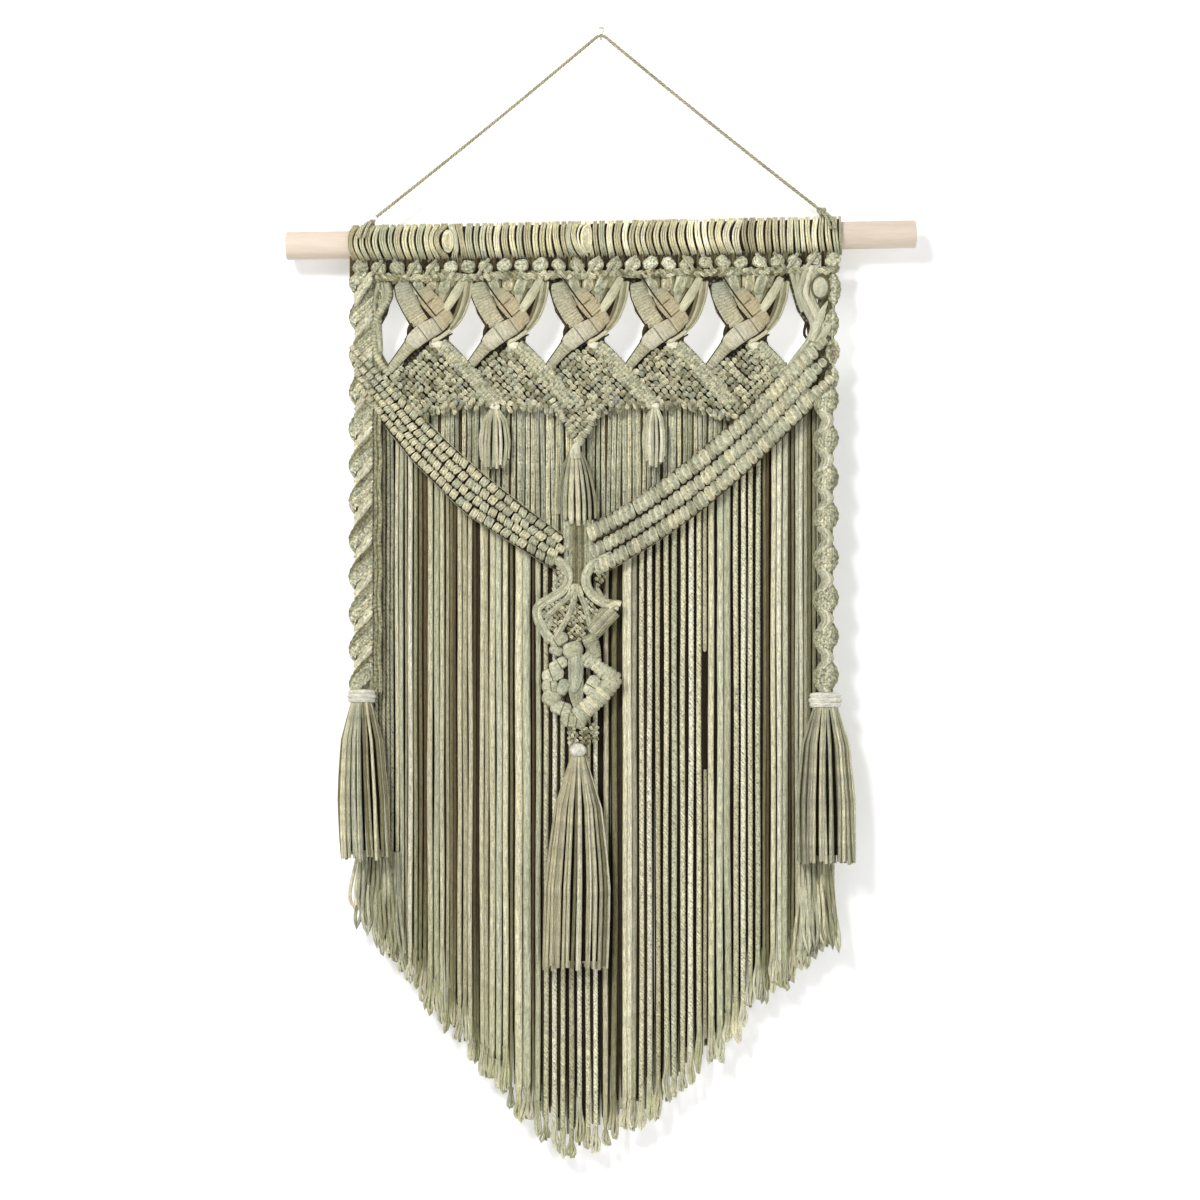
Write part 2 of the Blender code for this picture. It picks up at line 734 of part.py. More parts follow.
make_tassel("tassel_small_left", "cream", Vector((-0.0850, -0.0092, -0.2930)), (0.0045, 0.0080),
            (0.0540, 0.0125, 0.0), 9, 0.30)
make_tassel("tassel_small_right", "cream", Vector((0.0420, -0.0092, -0.2940)), (0.0045, 0.0080),
            (0.0530, 0.0105, 0.0), 9, 0.34)
make_ornament()
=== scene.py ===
"""The macrame wall hanging, dressed: every cord, wrap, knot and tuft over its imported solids.

Metres, in the frame of the solids: +X to the right, +Z up, +Y towards the wall.  Places in the
plane of the cloth are given on the pattern's grid, as a column to the right and a row down, and
half widths there in grid steps.
"""

import math
import random

import bpy
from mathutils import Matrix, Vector, noise


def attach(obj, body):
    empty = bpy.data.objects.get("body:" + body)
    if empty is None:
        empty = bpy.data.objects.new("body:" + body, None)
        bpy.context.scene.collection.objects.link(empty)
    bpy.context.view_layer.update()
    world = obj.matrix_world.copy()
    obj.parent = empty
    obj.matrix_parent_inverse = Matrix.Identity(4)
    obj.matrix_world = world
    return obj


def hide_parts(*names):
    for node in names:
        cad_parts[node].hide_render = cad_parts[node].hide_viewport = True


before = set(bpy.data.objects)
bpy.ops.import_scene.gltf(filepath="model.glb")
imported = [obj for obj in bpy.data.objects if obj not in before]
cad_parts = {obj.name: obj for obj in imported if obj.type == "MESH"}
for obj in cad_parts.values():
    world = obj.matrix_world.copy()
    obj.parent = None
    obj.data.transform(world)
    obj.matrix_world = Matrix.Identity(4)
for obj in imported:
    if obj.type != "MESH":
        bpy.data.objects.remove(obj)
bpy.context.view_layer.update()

# The pattern's grid: one step in metres, and the grid place of the nail at the origin.
STEP = 0.0007924
NAIL_COLUMN = 601.0
NAIL_ROW = 28.5
GRID_WIDTH = 1200
GRID_MIDDLE = 600

# Sizes shared with the solids.
DOWEL_DROP = 0.167
DOWEL_TILT = math.radians(1.1)
DOWEL_LENGTH = 0.500
DOWEL_RADIUS = 0.011
WRAP_CREST = 0.0160
GAP = 0.0003
HANGER_RADIUS = 0.0015
HANGER_DEPTH = -0.0027
HANGER_SAG = 0.0012
HANGER_STEP = 0.009
APEX_BEND = 0.006
APEX_DROP = 0.00515
HOOK_WIRE = 0.0009
TIE_LEFT = -0.181
TIE_RIGHT = 0.175
TIE_KNOT = 0.0030

# The length of one turn of the hanging cord's twist.
HANGER_LAY = 0.0085

# The heading: its ends, its dark core (painted shade under the turns), the turns' middle radius and cord, and
# the eyes' radius.
HEADING_LEFT = -0.1986
HEADING_RIGHT = 0.1908
HEADING_CORE = 0.0131
WRAP_MIDDLE = 0.0138
WRAP_CORD = 0.0021
EYE_RADIUS = 0.0152

# How far below the dowel's axis the twisted bar runs, in rows.
BAR_DROP = 35.6

# The middle of the woven layer, from front to back.
BACKING_DEPTH = -0.0052

# The share of a step along a row of knots at forty-five degrees that goes sideways.
HALF_ROOT = 0.7071

TO_WALL = Vector((0.0, 1.0, 0.0))
ACROSS = Vector((1.0, 0.0, 0.0))
UP = Vector((0.0, 0.0, 1.0))

# Shades of the cotton, as seen in daylight, 0 to 255; the three darkest are painted shade, laid as dark
# cores, hearts, backings and lines between cords.
SHADES = {
    "ivory": (218, 214, 195),
    "chalk": (207, 205, 196),
    "cream": (200, 195, 169),
    "pale_sage": (184, 184, 163),
    "sage": (166, 166, 144),
    "moss": (144, 142, 116),
    "olive": (118, 113, 86),
    "fern": (158, 161, 122),
    "grey_green": (160, 162, 146),
    "stone": (157, 153, 134),
    "sand": (177, 171, 145),
    "tan": (192, 179, 149),
    "bark": (90, 77, 55),
    "shade": (56, 47, 33),
    "deep_shade": (34, 25, 15),
}


def on_grid(column, row, depth=0.0):
    return Vector(((column - NAIL_COLUMN) * STEP, depth, (NAIL_ROW - row) * STEP))


def dowel_z(x):
    return -DOWEL_DROP + x * math.tan(DOWEL_TILT)


def dowel_row(column):
    """The grid row of the dowel's axis at a column."""
    return NAIL_ROW - dowel_z((column - NAIL_COLUMN) * STEP) / STEP


def linear(value):
    value /= 255
    return value / 12.92 if value <= 0.04045 else ((value + 0.055) / 1.055) ** 2.4


def shade(name, gain=1.0):
    return tuple(linear(c) * gain for c in SHADES[name])


def pick(rng, names, spread=0.12):
    """One of the named shades, a little lighter or darker."""
    return shade(rng.choice(names), 1 + rng.uniform(-spread, spread))


def lit(tint, light):
    return tuple(c * light for c in tint)


def mixed(a, b, share):
    return tuple(x + (y - x) * share for x, y in zip(a, b))


def graded(line, start, end, share=lambda along: along):
    """Tints along a line, from one to another by a share of how far along each point is."""
    return [mixed(start, end, share(i / len(line))) for i in range(len(line))]


def between(table, x):
    """The value at x in a table of rising places, in a straight line from row to row."""
    if x <= table[0][0]:
        return table[0][1]
    for low, high in zip(table, table[1:]):
        if x <= high[0]:
            return low[1] + (high[1] - low[1]) * (x - low[0]) / (high[0] - low[0])
    return table[-1][1]


def round_turn(count):
    """Angles evenly round a circle."""
    return [2 * math.pi * i / count for i in range(count)]


def leaning(degrees):
    """A direction in the plane of the cloth, turned down from the right."""
    angle = math.radians(degrees)
    return Vector((math.cos(angle), 0.0, -math.sin(angle)))


def run_length(line):
    return sum((b - a).length for a, b in zip(line, line[1:]))


def smooth(points, step):
    """Points a step apart on a smooth curve through the given ones."""
    ends = [points[0] * 2 - points[1], *points, points[-1] * 2 - points[-2]]
    fine = []
    for a, b, c, d in zip(ends, ends[1:], ends[2:], ends[3:]):
        for i in range(16):
            t = i / 16
            fine.append(
                0.5 * (2 * b + (c - a) * t + (2 * a - 5 * b + 4 * c - d) * t**2
                       + (3 * b - a - 3 * c + d) * t**3)
            )
    fine.append(points[-1])
    length = run_length(fine)
    count = max(2, round(length / step))
    route, walked, wanted = [fine[0]], 0.0, 1
    for a, b in zip(fine, fine[1:]):
        run = (b - a).length
        while wanted < count and walked + run >= wanted * length / count:
            route.append(a.lerp(b, (wanted * length / count - walked) / run))
            wanted += 1
        walked += run
    route.append(fine[-1])
    return route


def grid_route(places, depth, step):
    """A smooth route through grid places, with a point each so many grid steps."""
    return smooth([on_grid(column, row, depth) for column, row in places], step * STEP)


def shares(route, table):
    """Half widths in metres along a route, from a table of share and grid steps."""
    return [between(table, i / (len(route) - 1)) * STEP for i in range(len(route))]


def set_back(line, distance):
    """The same line, nearer to the wall."""
    return [place + TO_WALL * distance for place in line]


def way_at(line, i):
    """The direction in which a line runs at one of its points."""
    return (line[min(len(line) - 1, i + 1)] - line[max(0, i - 1)]).normalized()


class Skein:
    """Cords laid one by one that end up as the mesh of one piece."""

    def __init__(self, ridge=0.01):
        self.ridge = ridge
        self.points = []
        self.faces = []
        self.turns = []
        self.tints = []

    def cord(self, line, radius, tint, flat=1.0, sides=8, depth_axis=TO_WALL, twist=None, closed=False):
        """Lays a cord along a line: radius and tint are one for all or one for each point,
        flat is its depth over its width, and twist is its strands, lay and groove."""
        count = len(line)
        radii = radius if isinstance(radius, list) else [radius] * count
        tints = tint if isinstance(tint, list) else [tint] * count
        strands, lay, groove = twist or (1, 1e9, 0.0)
        first = len(self.points)
        runs = [0.0]
        for a, b in zip(line, line[1:]):
            runs.append(runs[-1] + (b - a).length)
        deep = depth_axis
        for i, place in enumerate(line):
            before = line[i - 1] if i or closed else place
            after = line[(i + 1) % count] if i < count - 1 or closed else place
            direction = (after - before).normalized()
            hint = depth_axis - direction * depth_axis.dot(direction)
            if hint.length < 0.2:
                hint = deep - direction * deep.dot(direction)
            deep = hint.normalized()
            wide = direction.cross(deep)
            turn = runs[i] / lay
            for k in range(sides):
                angle = 2 * math.pi * k / sides
                crease = 0.5 - 0.5 * math.cos(strands * (angle - 2 * math.pi * turn))
                reach = radii[i] * (1 - groove * crease)
                self.points.append(
                    place + wide * (math.cos(angle) * reach) + deep * (math.sin(angle) * reach * flat)
                )
                self.tints.append(tints[i])
        rings = count if closed else count - 1
        if closed:
            runs.append(runs[-1] + (line[0] - line[-1]).length)
        for i in range(rings):
            here, there = first + i * sides, first + (i + 1) % count * sides
            low, high = runs[i], runs[i + 1]
            for k in range(sides):
                n = (k + 1) % sides
                self.faces.append((here + k, there + k, there + n, here + n))
                left, right = k / sides, (k + 1) / sides
                a, b = low / self.ridge, high / self.ridge
                self.turns += [a, left - low / lay, b, left - high / lay, b, right - high / lay,
                               a, right - low / lay]
        if not closed:
            last = first + (count - 1) * sides
            self.faces.append(tuple(range(first, first + sides)))
            self.faces.append(tuple(range(last + sides - 1, last - 1, -1)))
            for k in range(2 * sides):
                self.turns += [runs[0] / self.ridge, k / sides]

    def lay(self, places, depth, step, half, tint, flat=1.0, sides=8):
        """Lays a cord through grid places at one depth, with a point each so many grid steps:
        half is its half width, or a table of shares of its length and half widths."""
        route = grid_route(places, depth, step)
        radius = shares(route, half) if isinstance(half, tuple) else half * STEP
        self.cord(route, radius, tint, flat=flat, sides=sides)
        return route

    def piece(self, name, finish, slot, *nodes):
        """Makes the mesh, hands it its finish and hides the solids that it stands for."""
        mesh = bpy.data.meshes.new(name)
        mesh.from_pydata(self.points, [], self.faces)
        layer = mesh.uv_layers.new(name="lay")
        layer.data.foreach_set("uv", self.turns)
        tint = mesh.color_attributes.new("tint", "FLOAT_COLOR", "POINT")
        tint.data.foreach_set("color", [c for t in self.tints for c in (*t, 1.0)])
        mesh.shade_smooth()
        mesh.set_sharp_from_angle(angle=math.radians(65))
        thing = bpy.data.objects.new(name, mesh)
        bpy.context.scene.collection.objects.link(thing)
        put_on_root(thing, finish, slot, *nodes)
        return thing


# Finishes.


class Flow:
    """A number or colour on its way through a finish; sums on it add their nodes."""

    def __init__(self, finish, socket):
        self.finish = finish
        self.socket = socket

    def _sum(self, operation, other, swapped=False):
        a, b = (other, self) if swapped else (self, other)
        return self.finish.node("ShaderNodeMath", {"operation": operation}, {0: a, 1: b})

    def __add__(self, other):
        return self._sum("ADD", other)

    def __sub__(self, other):
        return self._sum("SUBTRACT", other)

    def __rsub__(self, other):
        return self._sum("SUBTRACT", other, True)

    def __mul__(self, other):
        return self._sum("MULTIPLY", other)

    def __pow__(self, other):
        return self._sum("POWER", other)

    __radd__ = __add__

    def wave(self):
        """Between 0 and 1, with a crest at each whole turn."""
        turned = self * (2 * math.pi)
        return self.finish.node("ShaderNodeMath", {"operation": "COSINE"}, {0: turned}) * 0.5 + 0.5

    def scaled(self, by):
        """The colour times a number."""
        return self.finish.node("ShaderNodeVectorMath", {"operation": "SCALE"}, {0: self, 3: by})

    def axis(self, number):
        """X, Y or Z of a Separate XYZ node, of which this is X."""
        return Flow(self.finish, self.socket.node.outputs[number])


class Finish:
    """One material and its nodes."""

    def __init__(self, name):
        self.material = bpy.data.materials.new(name)
        self.material.use_nodes = True
        self.tree = self.material.node_tree
        self.surface = self.tree.nodes["Principled BSDF"]

    def node(self, kind, settings=None, feeds=None, output=0):
        node = self.tree.nodes.new(kind)
        for key, value in (settings or {}).items():
            setattr(node, key, value)
        for key, value in (feeds or {}).items():
            self.feed(node.inputs[key], value)
        return Flow(self, node.outputs[output])

    def feed(self, socket, value):
        if isinstance(value, Flow):
            self.tree.links.new(value.socket, socket)
        else:
            socket.default_value = value

    def set(self, **values):
        for key, value in values.items():
            self.feed(self.surface.inputs[key.replace("_", " ")], value)

    def place(self):
        """The place on the object, in metres."""
        return self.node("ShaderNodeTexCoord", output="Object")

    def ramp(self, value, *stops):
        """The colour at a value between 0 and 1, from places and their colours."""
        colour = self.node("ShaderNodeValToRGB", {}, {0: value})
        elements = colour.socket.node.color_ramp.elements
        while len(elements) < len(stops):
            elements.new(0.5)
        for stop, (place, tint) in zip(elements, stops):
            stop.position = place
            stop.color = (*tint, 1.0)
        return colour

    def vector(self, operation, a, b):
        return self.node("ShaderNodeVectorMath", {"operation": operation}, {0: a, 1: b})

    def bump(self, height, distance, strength):
        feeds = {"Height": height, "Distance": distance, "Strength": strength}
        self.set(Normal=self.node("ShaderNodeBump", {}, feeds))

    def spread(self, value, low, high, start, end):
        """A value between two others, stretched to reach from start to end."""
        return self.node("ShaderNodeMapRange", {}, {0: value, 1: low, 2: high, 3: start, 4: end})

    def speckle(self, coordinates, scale, detail=2.0, roughness=0.5):
        feeds = {"Vector": coordinates, "Scale": scale, "Detail": detail, "Roughness": roughness}
        return self.node("ShaderNodeTexNoise", {}, feeds)


def cotton(name, gain, strands=1, groove=0.0, fibre=0.2, grain=0.14, pits=0.3, nubs=0.0, bound=0.0):
    """Cotton in its own tint, with fibres, specks and small dark pits: strands and groove are the
    creases of a twisted cord, bound those between turns across it, nubs those of small knots. The
    creases and pits are darkened as painted shade, and the nubs are paler at their tops and darker
    at their edges, as painted highlight and shade."""
    finish = Finish(name)
    tint = finish.node("ShaderNodeAttribute", {"attribute_name": "tint"})
    lay = finish.node("ShaderNodeUVMap", {"uv_map": "lay"})
    along = finish.node("ShaderNodeSeparateXYZ", {}, {0: lay})
    around = along.axis(1)
    place = finish.place()
    if bound:
        relief = (along + finish.speckle(place, 260.0) * 0.5).wave()
        pull = {0: along * 7.0, 1: around * 3.0}
    else:
        relief = (around * strands).wave()
        pull = {0: along * 1.1, 1: around * 9.0}
    fibres = finish.speckle(finish.node("ShaderNodeCombineXYZ", {}, pull), 1.0, 3.0, 0.6)
    fibres = finish.spread(fibres, 0.36, 0.64, -1.0, 1.0)
    specks = finish.spread(finish.speckle(place, 720.0, 3.0, 0.7), 0.34, 0.66, -1.0, 1.0)
    patch = finish.spread(finish.speckle(place, 240.0, 3.0, 0.6), 0.30, 0.70, -1.0, 1.0)
    pit = finish.spread(finish.speckle(place, 520.0, 2.0, 0.6), 0.56, 0.70, 0.0, 1.0)
    # Darker in the creases and in the pits: painted shade.
    light = (1.0 - (1.0 - relief) ** 2.0 * (bound or groove)) * (1.0 + fibres * fibre) * gain
    light = light * (1.0 + specks * grain) * (1.0 + patch * grain * 0.6) * (1.0 - pit * pits)
    height = relief * (0.6 if bound or groove else 0.0) + fibres * 0.4 + specks * grain - pit * pits
    if nubs:
        feeds = {"Vector": place, "Scale": 500.0, "Randomness": 0.9}
        cells = finish.node("ShaderNodeTexVoronoi", {"feature": "F1"}, feeds)
        # Paler at the nubs' tops and darker at their edges: painted highlight and shade.
        light = light * (1.0 + (0.40 - cells) * nubs)
        height = height - cells * 1.2
    warm = finish.vector("MULTIPLY", tint, (1.02, 0.995, 0.90))
    cool = finish.vector("MULTIPLY", tint, (0.985, 1.005, 0.985))
    share = finish.spread(finish.speckle(place, 330.0, 3.0, 0.7), 0.38, 0.62, 0.0, 1.0)
    hue = finish.node("ShaderNodeMix", {"data_type": "RGBA"}, {0: share, 6: cool, 7: warm}, 2)
    finish.set(Base_Color=hue.scaled(light), Roughness=0.9, Specular_IOR_Level=0.12, Sheen_Weight=0.04,
               Sheen_Roughness=0.5)
    finish.bump(height, 0.0011, 0.9)
    return finish


def birch():
    """Sanded pale birch, with its grain along the dowel."""
    finish = Finish("sanded_birch")
    place = finish.place()
    feeds = {"Vector": place, "Scale": (6.0, 90.0, 90.0), "Rotation": (0.0, DOWEL_TILT, 0.0)}
    grain = finish.speckle(finish.node("ShaderNodeMapping", {}, feeds), 1.6, 5.0, 0.6)
    feeds = {"Vector": place, "Scale": (70.0, 900.0, 900.0)}
    pores = finish.speckle(finish.node("ShaderNodeMapping", {}, feeds), 1.0)
    cloud = finish.speckle(place, 14.0)
    colour = finish.ramp(grain, (0.25, (0.525, 0.435, 0.345)), (0.5, (0.590, 0.500, 0.405)),
                         (0.8, (0.645, 0.560, 0.465)))
    light = (1.0 + (pores - 0.5) * 0.18) * (1.0 + (cloud - 0.5) * 0.16)
    finish.set(Base_Color=colour.scaled(light), Roughness=0.62)
    finish.bump(grain * 0.4 + pores * 0.6, 0.0002, 0.5)
    return finish


def wire():
    """Dull pale wire, a little rubbed."""
    finish = Finish("pale_wire")
    rub = finish.speckle(finish.place(), 900.0)
    colour = finish.ramp(rub, (0.3, (0.50, 0.46, 0.38)), (0.7, (0.66, 0.61, 0.52)))
    finish.set(Base_Color=colour, Metallic=0.5, Roughness=rub * 0.2 + 0.3)
    finish.bump(rub, 0.00005, 0.4)
    return finish


def backing_finish():
    """Cords at forty-five degrees both ways, dark as painted shade and darkest in the hollows, and paler on
    the rear face.
    """
    finish = Finish("woven_backing")
    place = finish.place()
    x = finish.node("ShaderNodeSeparateXYZ", {}, {0: place})
    y, z = x.axis(1), x.axis(2)
    weave = ((x + z) * 190.0).wave() * ((x - z) * 190.0).wave()
    fuzz = finish.speckle(place, 700.0, 3.0)
    # The dark weave and its darker hollows are painted shade.
    colour = finish.ramp(weave, (0.0, (0.035, 0.028, 0.017)), (0.5, (0.115, 0.098, 0.062)),
                         (1.0, (0.24, 0.215, 0.145)))
    rear = finish.spread(y, BACKING_DEPTH - 0.0004, BACKING_DEPTH + 0.0004, 1.0, 2.2)
    finish.set(Base_Color=colour.scaled((0.75 + fuzz * 0.5) * rear), Roughness=0.9)
    finish.bump(weave + fuzz * 0.3, 0.0009, 0.8)
    return finish


TWISTED = cotton("twisted_cotton", 1.46, 3, 0.55, 0.15, 0.10, 0.15)
ROPED = cotton("roped_cotton", 1.34, 3, 0.12, 0.24, 0.26, 0.55)
COMBED = cotton("combed_cotton", 1.15, fibre=0.26, grain=0.12, pits=0.25)
WRAPPED = cotton("wrapped_cotton", 1.54, fibre=0.30)
SPECKLED = cotton("speckled_cotton", 1.54, 2, 0.40, 0.26, 0.24, 0.50)
KNOBBLY = cotton("knobbly_cotton", 1.38, fibre=0.18, grain=0.20, pits=0.50, nubs=1.1)
SOFT = cotton("soft_cotton", 1.17, fibre=0.22, grain=0.22, pits=0.40)
BOUND = cotton("bound_cotton", 1.36, grain=0.20, pits=0.35, bound=0.24)
WOUND = cotton("wound_cotton", 1.12, fibre=0.15, grain=0.12, pits=0.20, bound=0.10)
PLAIN_BAND = cotton("plain_band_cotton", 1.09, fibre=0.16, grain=0.10, pits=0.18)
BIRCH = birch()
WIRE = wire()
BACKING = backing_finish()


# The dowel, its hanging cord and the heading.


def put_on_root(thing, finish, slot, *nodes):
    """Gives a piece its finish, fixes it to the root and hides the solids that it stands for; slot is not
    used.
    """
    thing.data.materials.clear()
    thing.data.materials.append(finish.material)
    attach(thing, "root")
    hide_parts(*nodes)


def apply_place(thing):
    bpy.ops.object.select_all(action="DESELECT")
    thing.select_set(True)
    bpy.context.view_layer.objects.active = thing
    bpy.ops.object.transform_apply(location=True, rotation=True, scale=True)


def turn_dowel():
    """The rod, with a small round on each end."""
    bpy.ops.object.select_all(action="DESELECT")
    bpy.ops.mesh.primitive_cylinder_add(vertices=64, radius=DOWEL_RADIUS, depth=DOWEL_LENGTH)
    rod = bpy.context.object
    rod.name = rod.data.name = "birch_rod"
    bpy.ops.object.mode_set(mode="EDIT")
    bpy.ops.mesh.select_all(action="DESELECT")
    bpy.ops.object.mode_set(mode="OBJECT")
    for face in rod.data.polygons:
        face.select = abs(face.normal.z) > 0.9
    bpy.ops.object.mode_set(mode="EDIT")
    bpy.ops.mesh.bevel(offset=0.0012, segments=4, affect="EDGES")
    bpy.ops.mesh.select_all(action="DESELECT")
    bpy.ops.object.mode_set(mode="OBJECT")
    for face in rod.data.polygons:
        face.select = len(face.vertices) > 8
    bpy.ops.object.mode_set(mode="EDIT")
    bpy.ops.mesh.inset(thickness=0.004)
    bpy.ops.mesh.inset(thickness=0.0035)
    bpy.ops.object.mode_set(mode="OBJECT")
    rod.rotation_euler.y = math.pi / 2 - DOWEL_TILT
    rod.location.z = -DOWEL_DROP
    apply_place(rod)
    bpy.ops.object.shade_smooth_by_angle(angle=math.radians(40))
    put_on_root(rod, BIRCH, "beech", "dowel")


def tie_place(x):
    return Vector((x, HANGER_DEPTH, dowel_z(x) + WRAP_CREST + GAP + TIE_KNOT))


def hanger_leg(tie, bend):
    knot = tie_place(tie)
    start = knot + (bend - knot).normalized() * (TIE_KNOT + GAP + 0.0002)
    count = round((bend - start).length / HANGER_STEP)
    leg = []
    for i in range(count + 1):
        point = start.lerp(bend, i / count)
        point.z -= HANGER_SAG * math.sin(math.pi * i / count)
        leg.append(point)
    return leg


def hang_cord():
    """The twisted cord from the left knot over the hook's foot to the right knot."""
    arc = []
    for turn in (-38.5, -20.0, 0.0, 20.0, 38.5):
        angle = math.radians(turn)
        rise = APEX_BEND * (math.cos(angle) - 1)
        arc.append(Vector((APEX_BEND * math.sin(angle), HANGER_DEPTH, rise - APEX_DROP)))
    left = hanger_leg(TIE_LEFT, arc[0])
    right = hanger_leg(TIE_RIGHT, arc[-1])
    route = smooth([*left, *arc[1:-1], *reversed(right)], 0.0012)
    start, end = shade("moss"), shade("sand", 1.05)
    tints = [mixed(start, end, 0.6 + 0.5 * noise.noise(point * 40)) for point in route]
    skein = Skein()
    skein.cord(route, HANGER_RADIUS, tints, twist=(2, HANGER_LAY, 0.30))
    cord = skein.piece("hanging_cord", TWISTED, "khaki", "hanger_cord")
    round(run_length(route), 3)


def bend_hook():
    """A bent wire: an open eye over the nail, and a foot that holds the cord."""
    bend = 0.0019
    behind = HANGER_DEPTH + HANGER_RADIUS + HOOK_WIRE + GAP + 0.0001
    under = -APEX_DROP - HANGER_RADIUS - HOOK_WIRE - GAP - 0.0002
    route = [
        Vector((-bend * math.cos(a), behind, bend * math.sin(a)))
        for a in (math.radians(d) for d in (40, 75, 110, 145, 180, 215, 245))
    ]
    route += [
        Vector((0.0, behind, -0.0045)),
        Vector((0.0, behind, under + 0.0020)),
        Vector((0.0, behind - 0.0008, under + 0.0004)),
        Vector((0.0, HANGER_DEPTH, under)),
        Vector((0.0, HANGER_DEPTH - 0.0018, under + 0.0006)),
    ]
    skein = Skein()
    skein.cord(smooth(route, 0.0007), HOOK_WIRE, shade("cream"), sides=10)
    skein.piece("wire_hook", WIRE, "steel", "hanger_hook")


def tie_end(name, node, x, lean, tint, size, sink):
    """An overhand knot on top of the heading, and the cord that it ties over the first wraps."""
    skein = Skein()
    centre = tie_place(x) - UP * sink
    loop = []
    for t in round_turn(36):
        loop.append(centre + Vector((
            0.00105 * (math.sin(t) + 2 * math.sin(2 * t)),
            -0.0011 * math.sin(3 * t),
            0.00095 * (math.cos(t) - 2 * math.cos(2 * t)),
        )) * size)
    skein.cord(loop, 0.00125 * size, tint, closed=True, depth_axis=ACROSS)
    reach = WRAP_CREST + GAP + 0.0012
    for shift, stretch in ((0.0, 1.0), (0.0022, 1.3)):
        over = []
        for turn in range(-50, 79, 8):
            angle = math.radians(turn)
            along = x + (lean * max(0, turn) / 75) * stretch + math.copysign(shift, lean)
            over.append(Vector((along, -reach * math.sin(angle), dowel_z(along) + reach * math.cos(angle))))
        skein.cord(smooth(over, 0.0015), 0.0014, tint, depth_axis=ACROSS, twist=(2, HANGER_LAY, 0.25))
    skein.piece(name, TWISTED, "khaki", node)


# Where the turns part round a flat loop: column, half width, half height, and on which sides.
EYES = ((448.5, 6.5, 12.0, (-1, 1)), (588, 8.0, 15.0, (-1,)))

# How far the front of the turns bows out to the left, along the heading.
BOWS = (
    (347, 5), (362, 8), (385, 5), (410, 4.5), (436, 4), (470, 2.5), (500, 3), (535, 2), (560, 3), (596, 1.5),
    (620, 3.5), (650, 6), (685, 5), (703, 2.5), (716, 5), (730, 8), (746, 4), (770, 2), (800, 1), (815, 3),
    (842, 1.5),
)


def wrap_ring(skein, x, radius, lean, thick, half, tint):
    """One turn of cord round the dowel, bowed and leaning, and parting round the eyes."""
    centre = Vector((x, 0.0, dowel_z(x)))
    up = Vector((-math.sin(DOWEL_TILT), 0.0, math.cos(DOWEL_TILT)))
    column = NAIL_COLUMN + x / STEP
    bow = between(BOWS, column) * STEP
    ring = []
    for a in round_turn(26):
        rise = math.sin(a) * radius
        shift = lean * rise
        if math.cos(a) < 0:
            shift -= bow * (0.6 - (rise / radius) ** 2)
        for middle, wide, tall, sides in EYES:
            away = column - middle
            near = 1 - abs(away) / (3.0 * wide)
            if near > 0 and math.cos(a) < 0 and math.copysign(1, away) in sides:
                bulge = math.sqrt(max(0.0, 1 - (rise / (tall * STEP)) ** 2))
                shift += math.copysign(wide * STEP * bulge * near, away)
        ring.append(centre + TO_WALL * (math.cos(a) * radius) + up * rise + ACROSS * shift)
    skein.cord(ring, thick, tint, flat=half / thick, depth_axis=ACROSS, closed=True)


def wind_heading():
    """The lark's heads round the dowel, two or three turns to each, some fatter and some askew."""
    rng = random.Random(5)
    skein = Skein()
    # A dark core under the turns: painted shade between them.
    core = [Vector((x, 0.0, dowel_z(x))) for x in (HEADING_LEFT + 0.002, HEADING_RIGHT - 0.001)]
    skein.cord(core, HEADING_CORE, shade("deep_shade"), sides=24)
    lean, x = 0.0, HEADING_LEFT
    while x < HEADING_RIGHT - 0.002:
        wide = 7.0 * STEP * rng.choice((0.8, 0.9, 1.0, 1.0, 1.12, 1.25))
        wide = min(wide, HEADING_RIGHT - x)
        lean = 0.5 * lean + rng.gauss(0.0, 0.035) - 0.02
        tint = pick(rng, ("cream", "pale_sage", "cream", "ivory", "sand"), 0.10)
        radius = WRAP_MIDDLE + rng.uniform(-0.0002, 0.0002)
        turns = 3 if wide > 7.5 * STEP else 2
        for k in range(turns):
            share = (k + 0.5) / turns
            light = rng.uniform(0.90, 1.10)
            wrap_ring(skein, x + wide * (0.10 + 0.76 * share), radius - 0.00015 * (k % 2), lean, WRAP_CORD,
                      wide * 0.365 / turns, lit(tint, light))
        x += wide
    for middle, wide, tall, sides in EYES:
        for inset in (2.0, 4.2, 6.2):
            eye = []
            for a in round_turn(24):
                out = math.cos(a) * (1.0 if math.cos(a) < 0 or len(sides) > 1 else 0.45)
                row = dowel_row(middle) + (tall - inset) * math.sin(a)
                place = on_grid(middle + max(0.8, wide - inset) * out, row)
                lift = place.z - dowel_z(place.x)
                place.y = -math.sqrt(max(1e-6, EYE_RADIUS**2 - lift**2)) - 0.0003 - 0.0001 * inset
                eye.append(place)
            skein.cord(eye, 0.0013, pick(rng, ("cream", "sand")), sides=7, closed=True)
    skein.piece("heading_wraps", WRAPPED, "sage", "heading")


# Knots.


def capsule(skein, start, end, radius, tint, flat=1.0, sides=8, rings=7):
    """A short fat cord with round ends."""
    span = (end - start).length
    direction = (end - start).normalized()
    line, radii = [], []
    for i in range(rings):
        t = i / (rings - 1)
        line.append(start - direction * radius * 0.9 + (end - start + direction * radius * 1.8) * t)
        away = max(0.0, abs(t - 0.5) * (span + radius * 1.8) - span / 2) / (radius * 0.9)
        radii.append(radius * max(0.30, (1 - min(1.0, away) ** 2.6) ** 0.42))
    skein.cord(line, radii, tint, flat=flat, sides=sides)


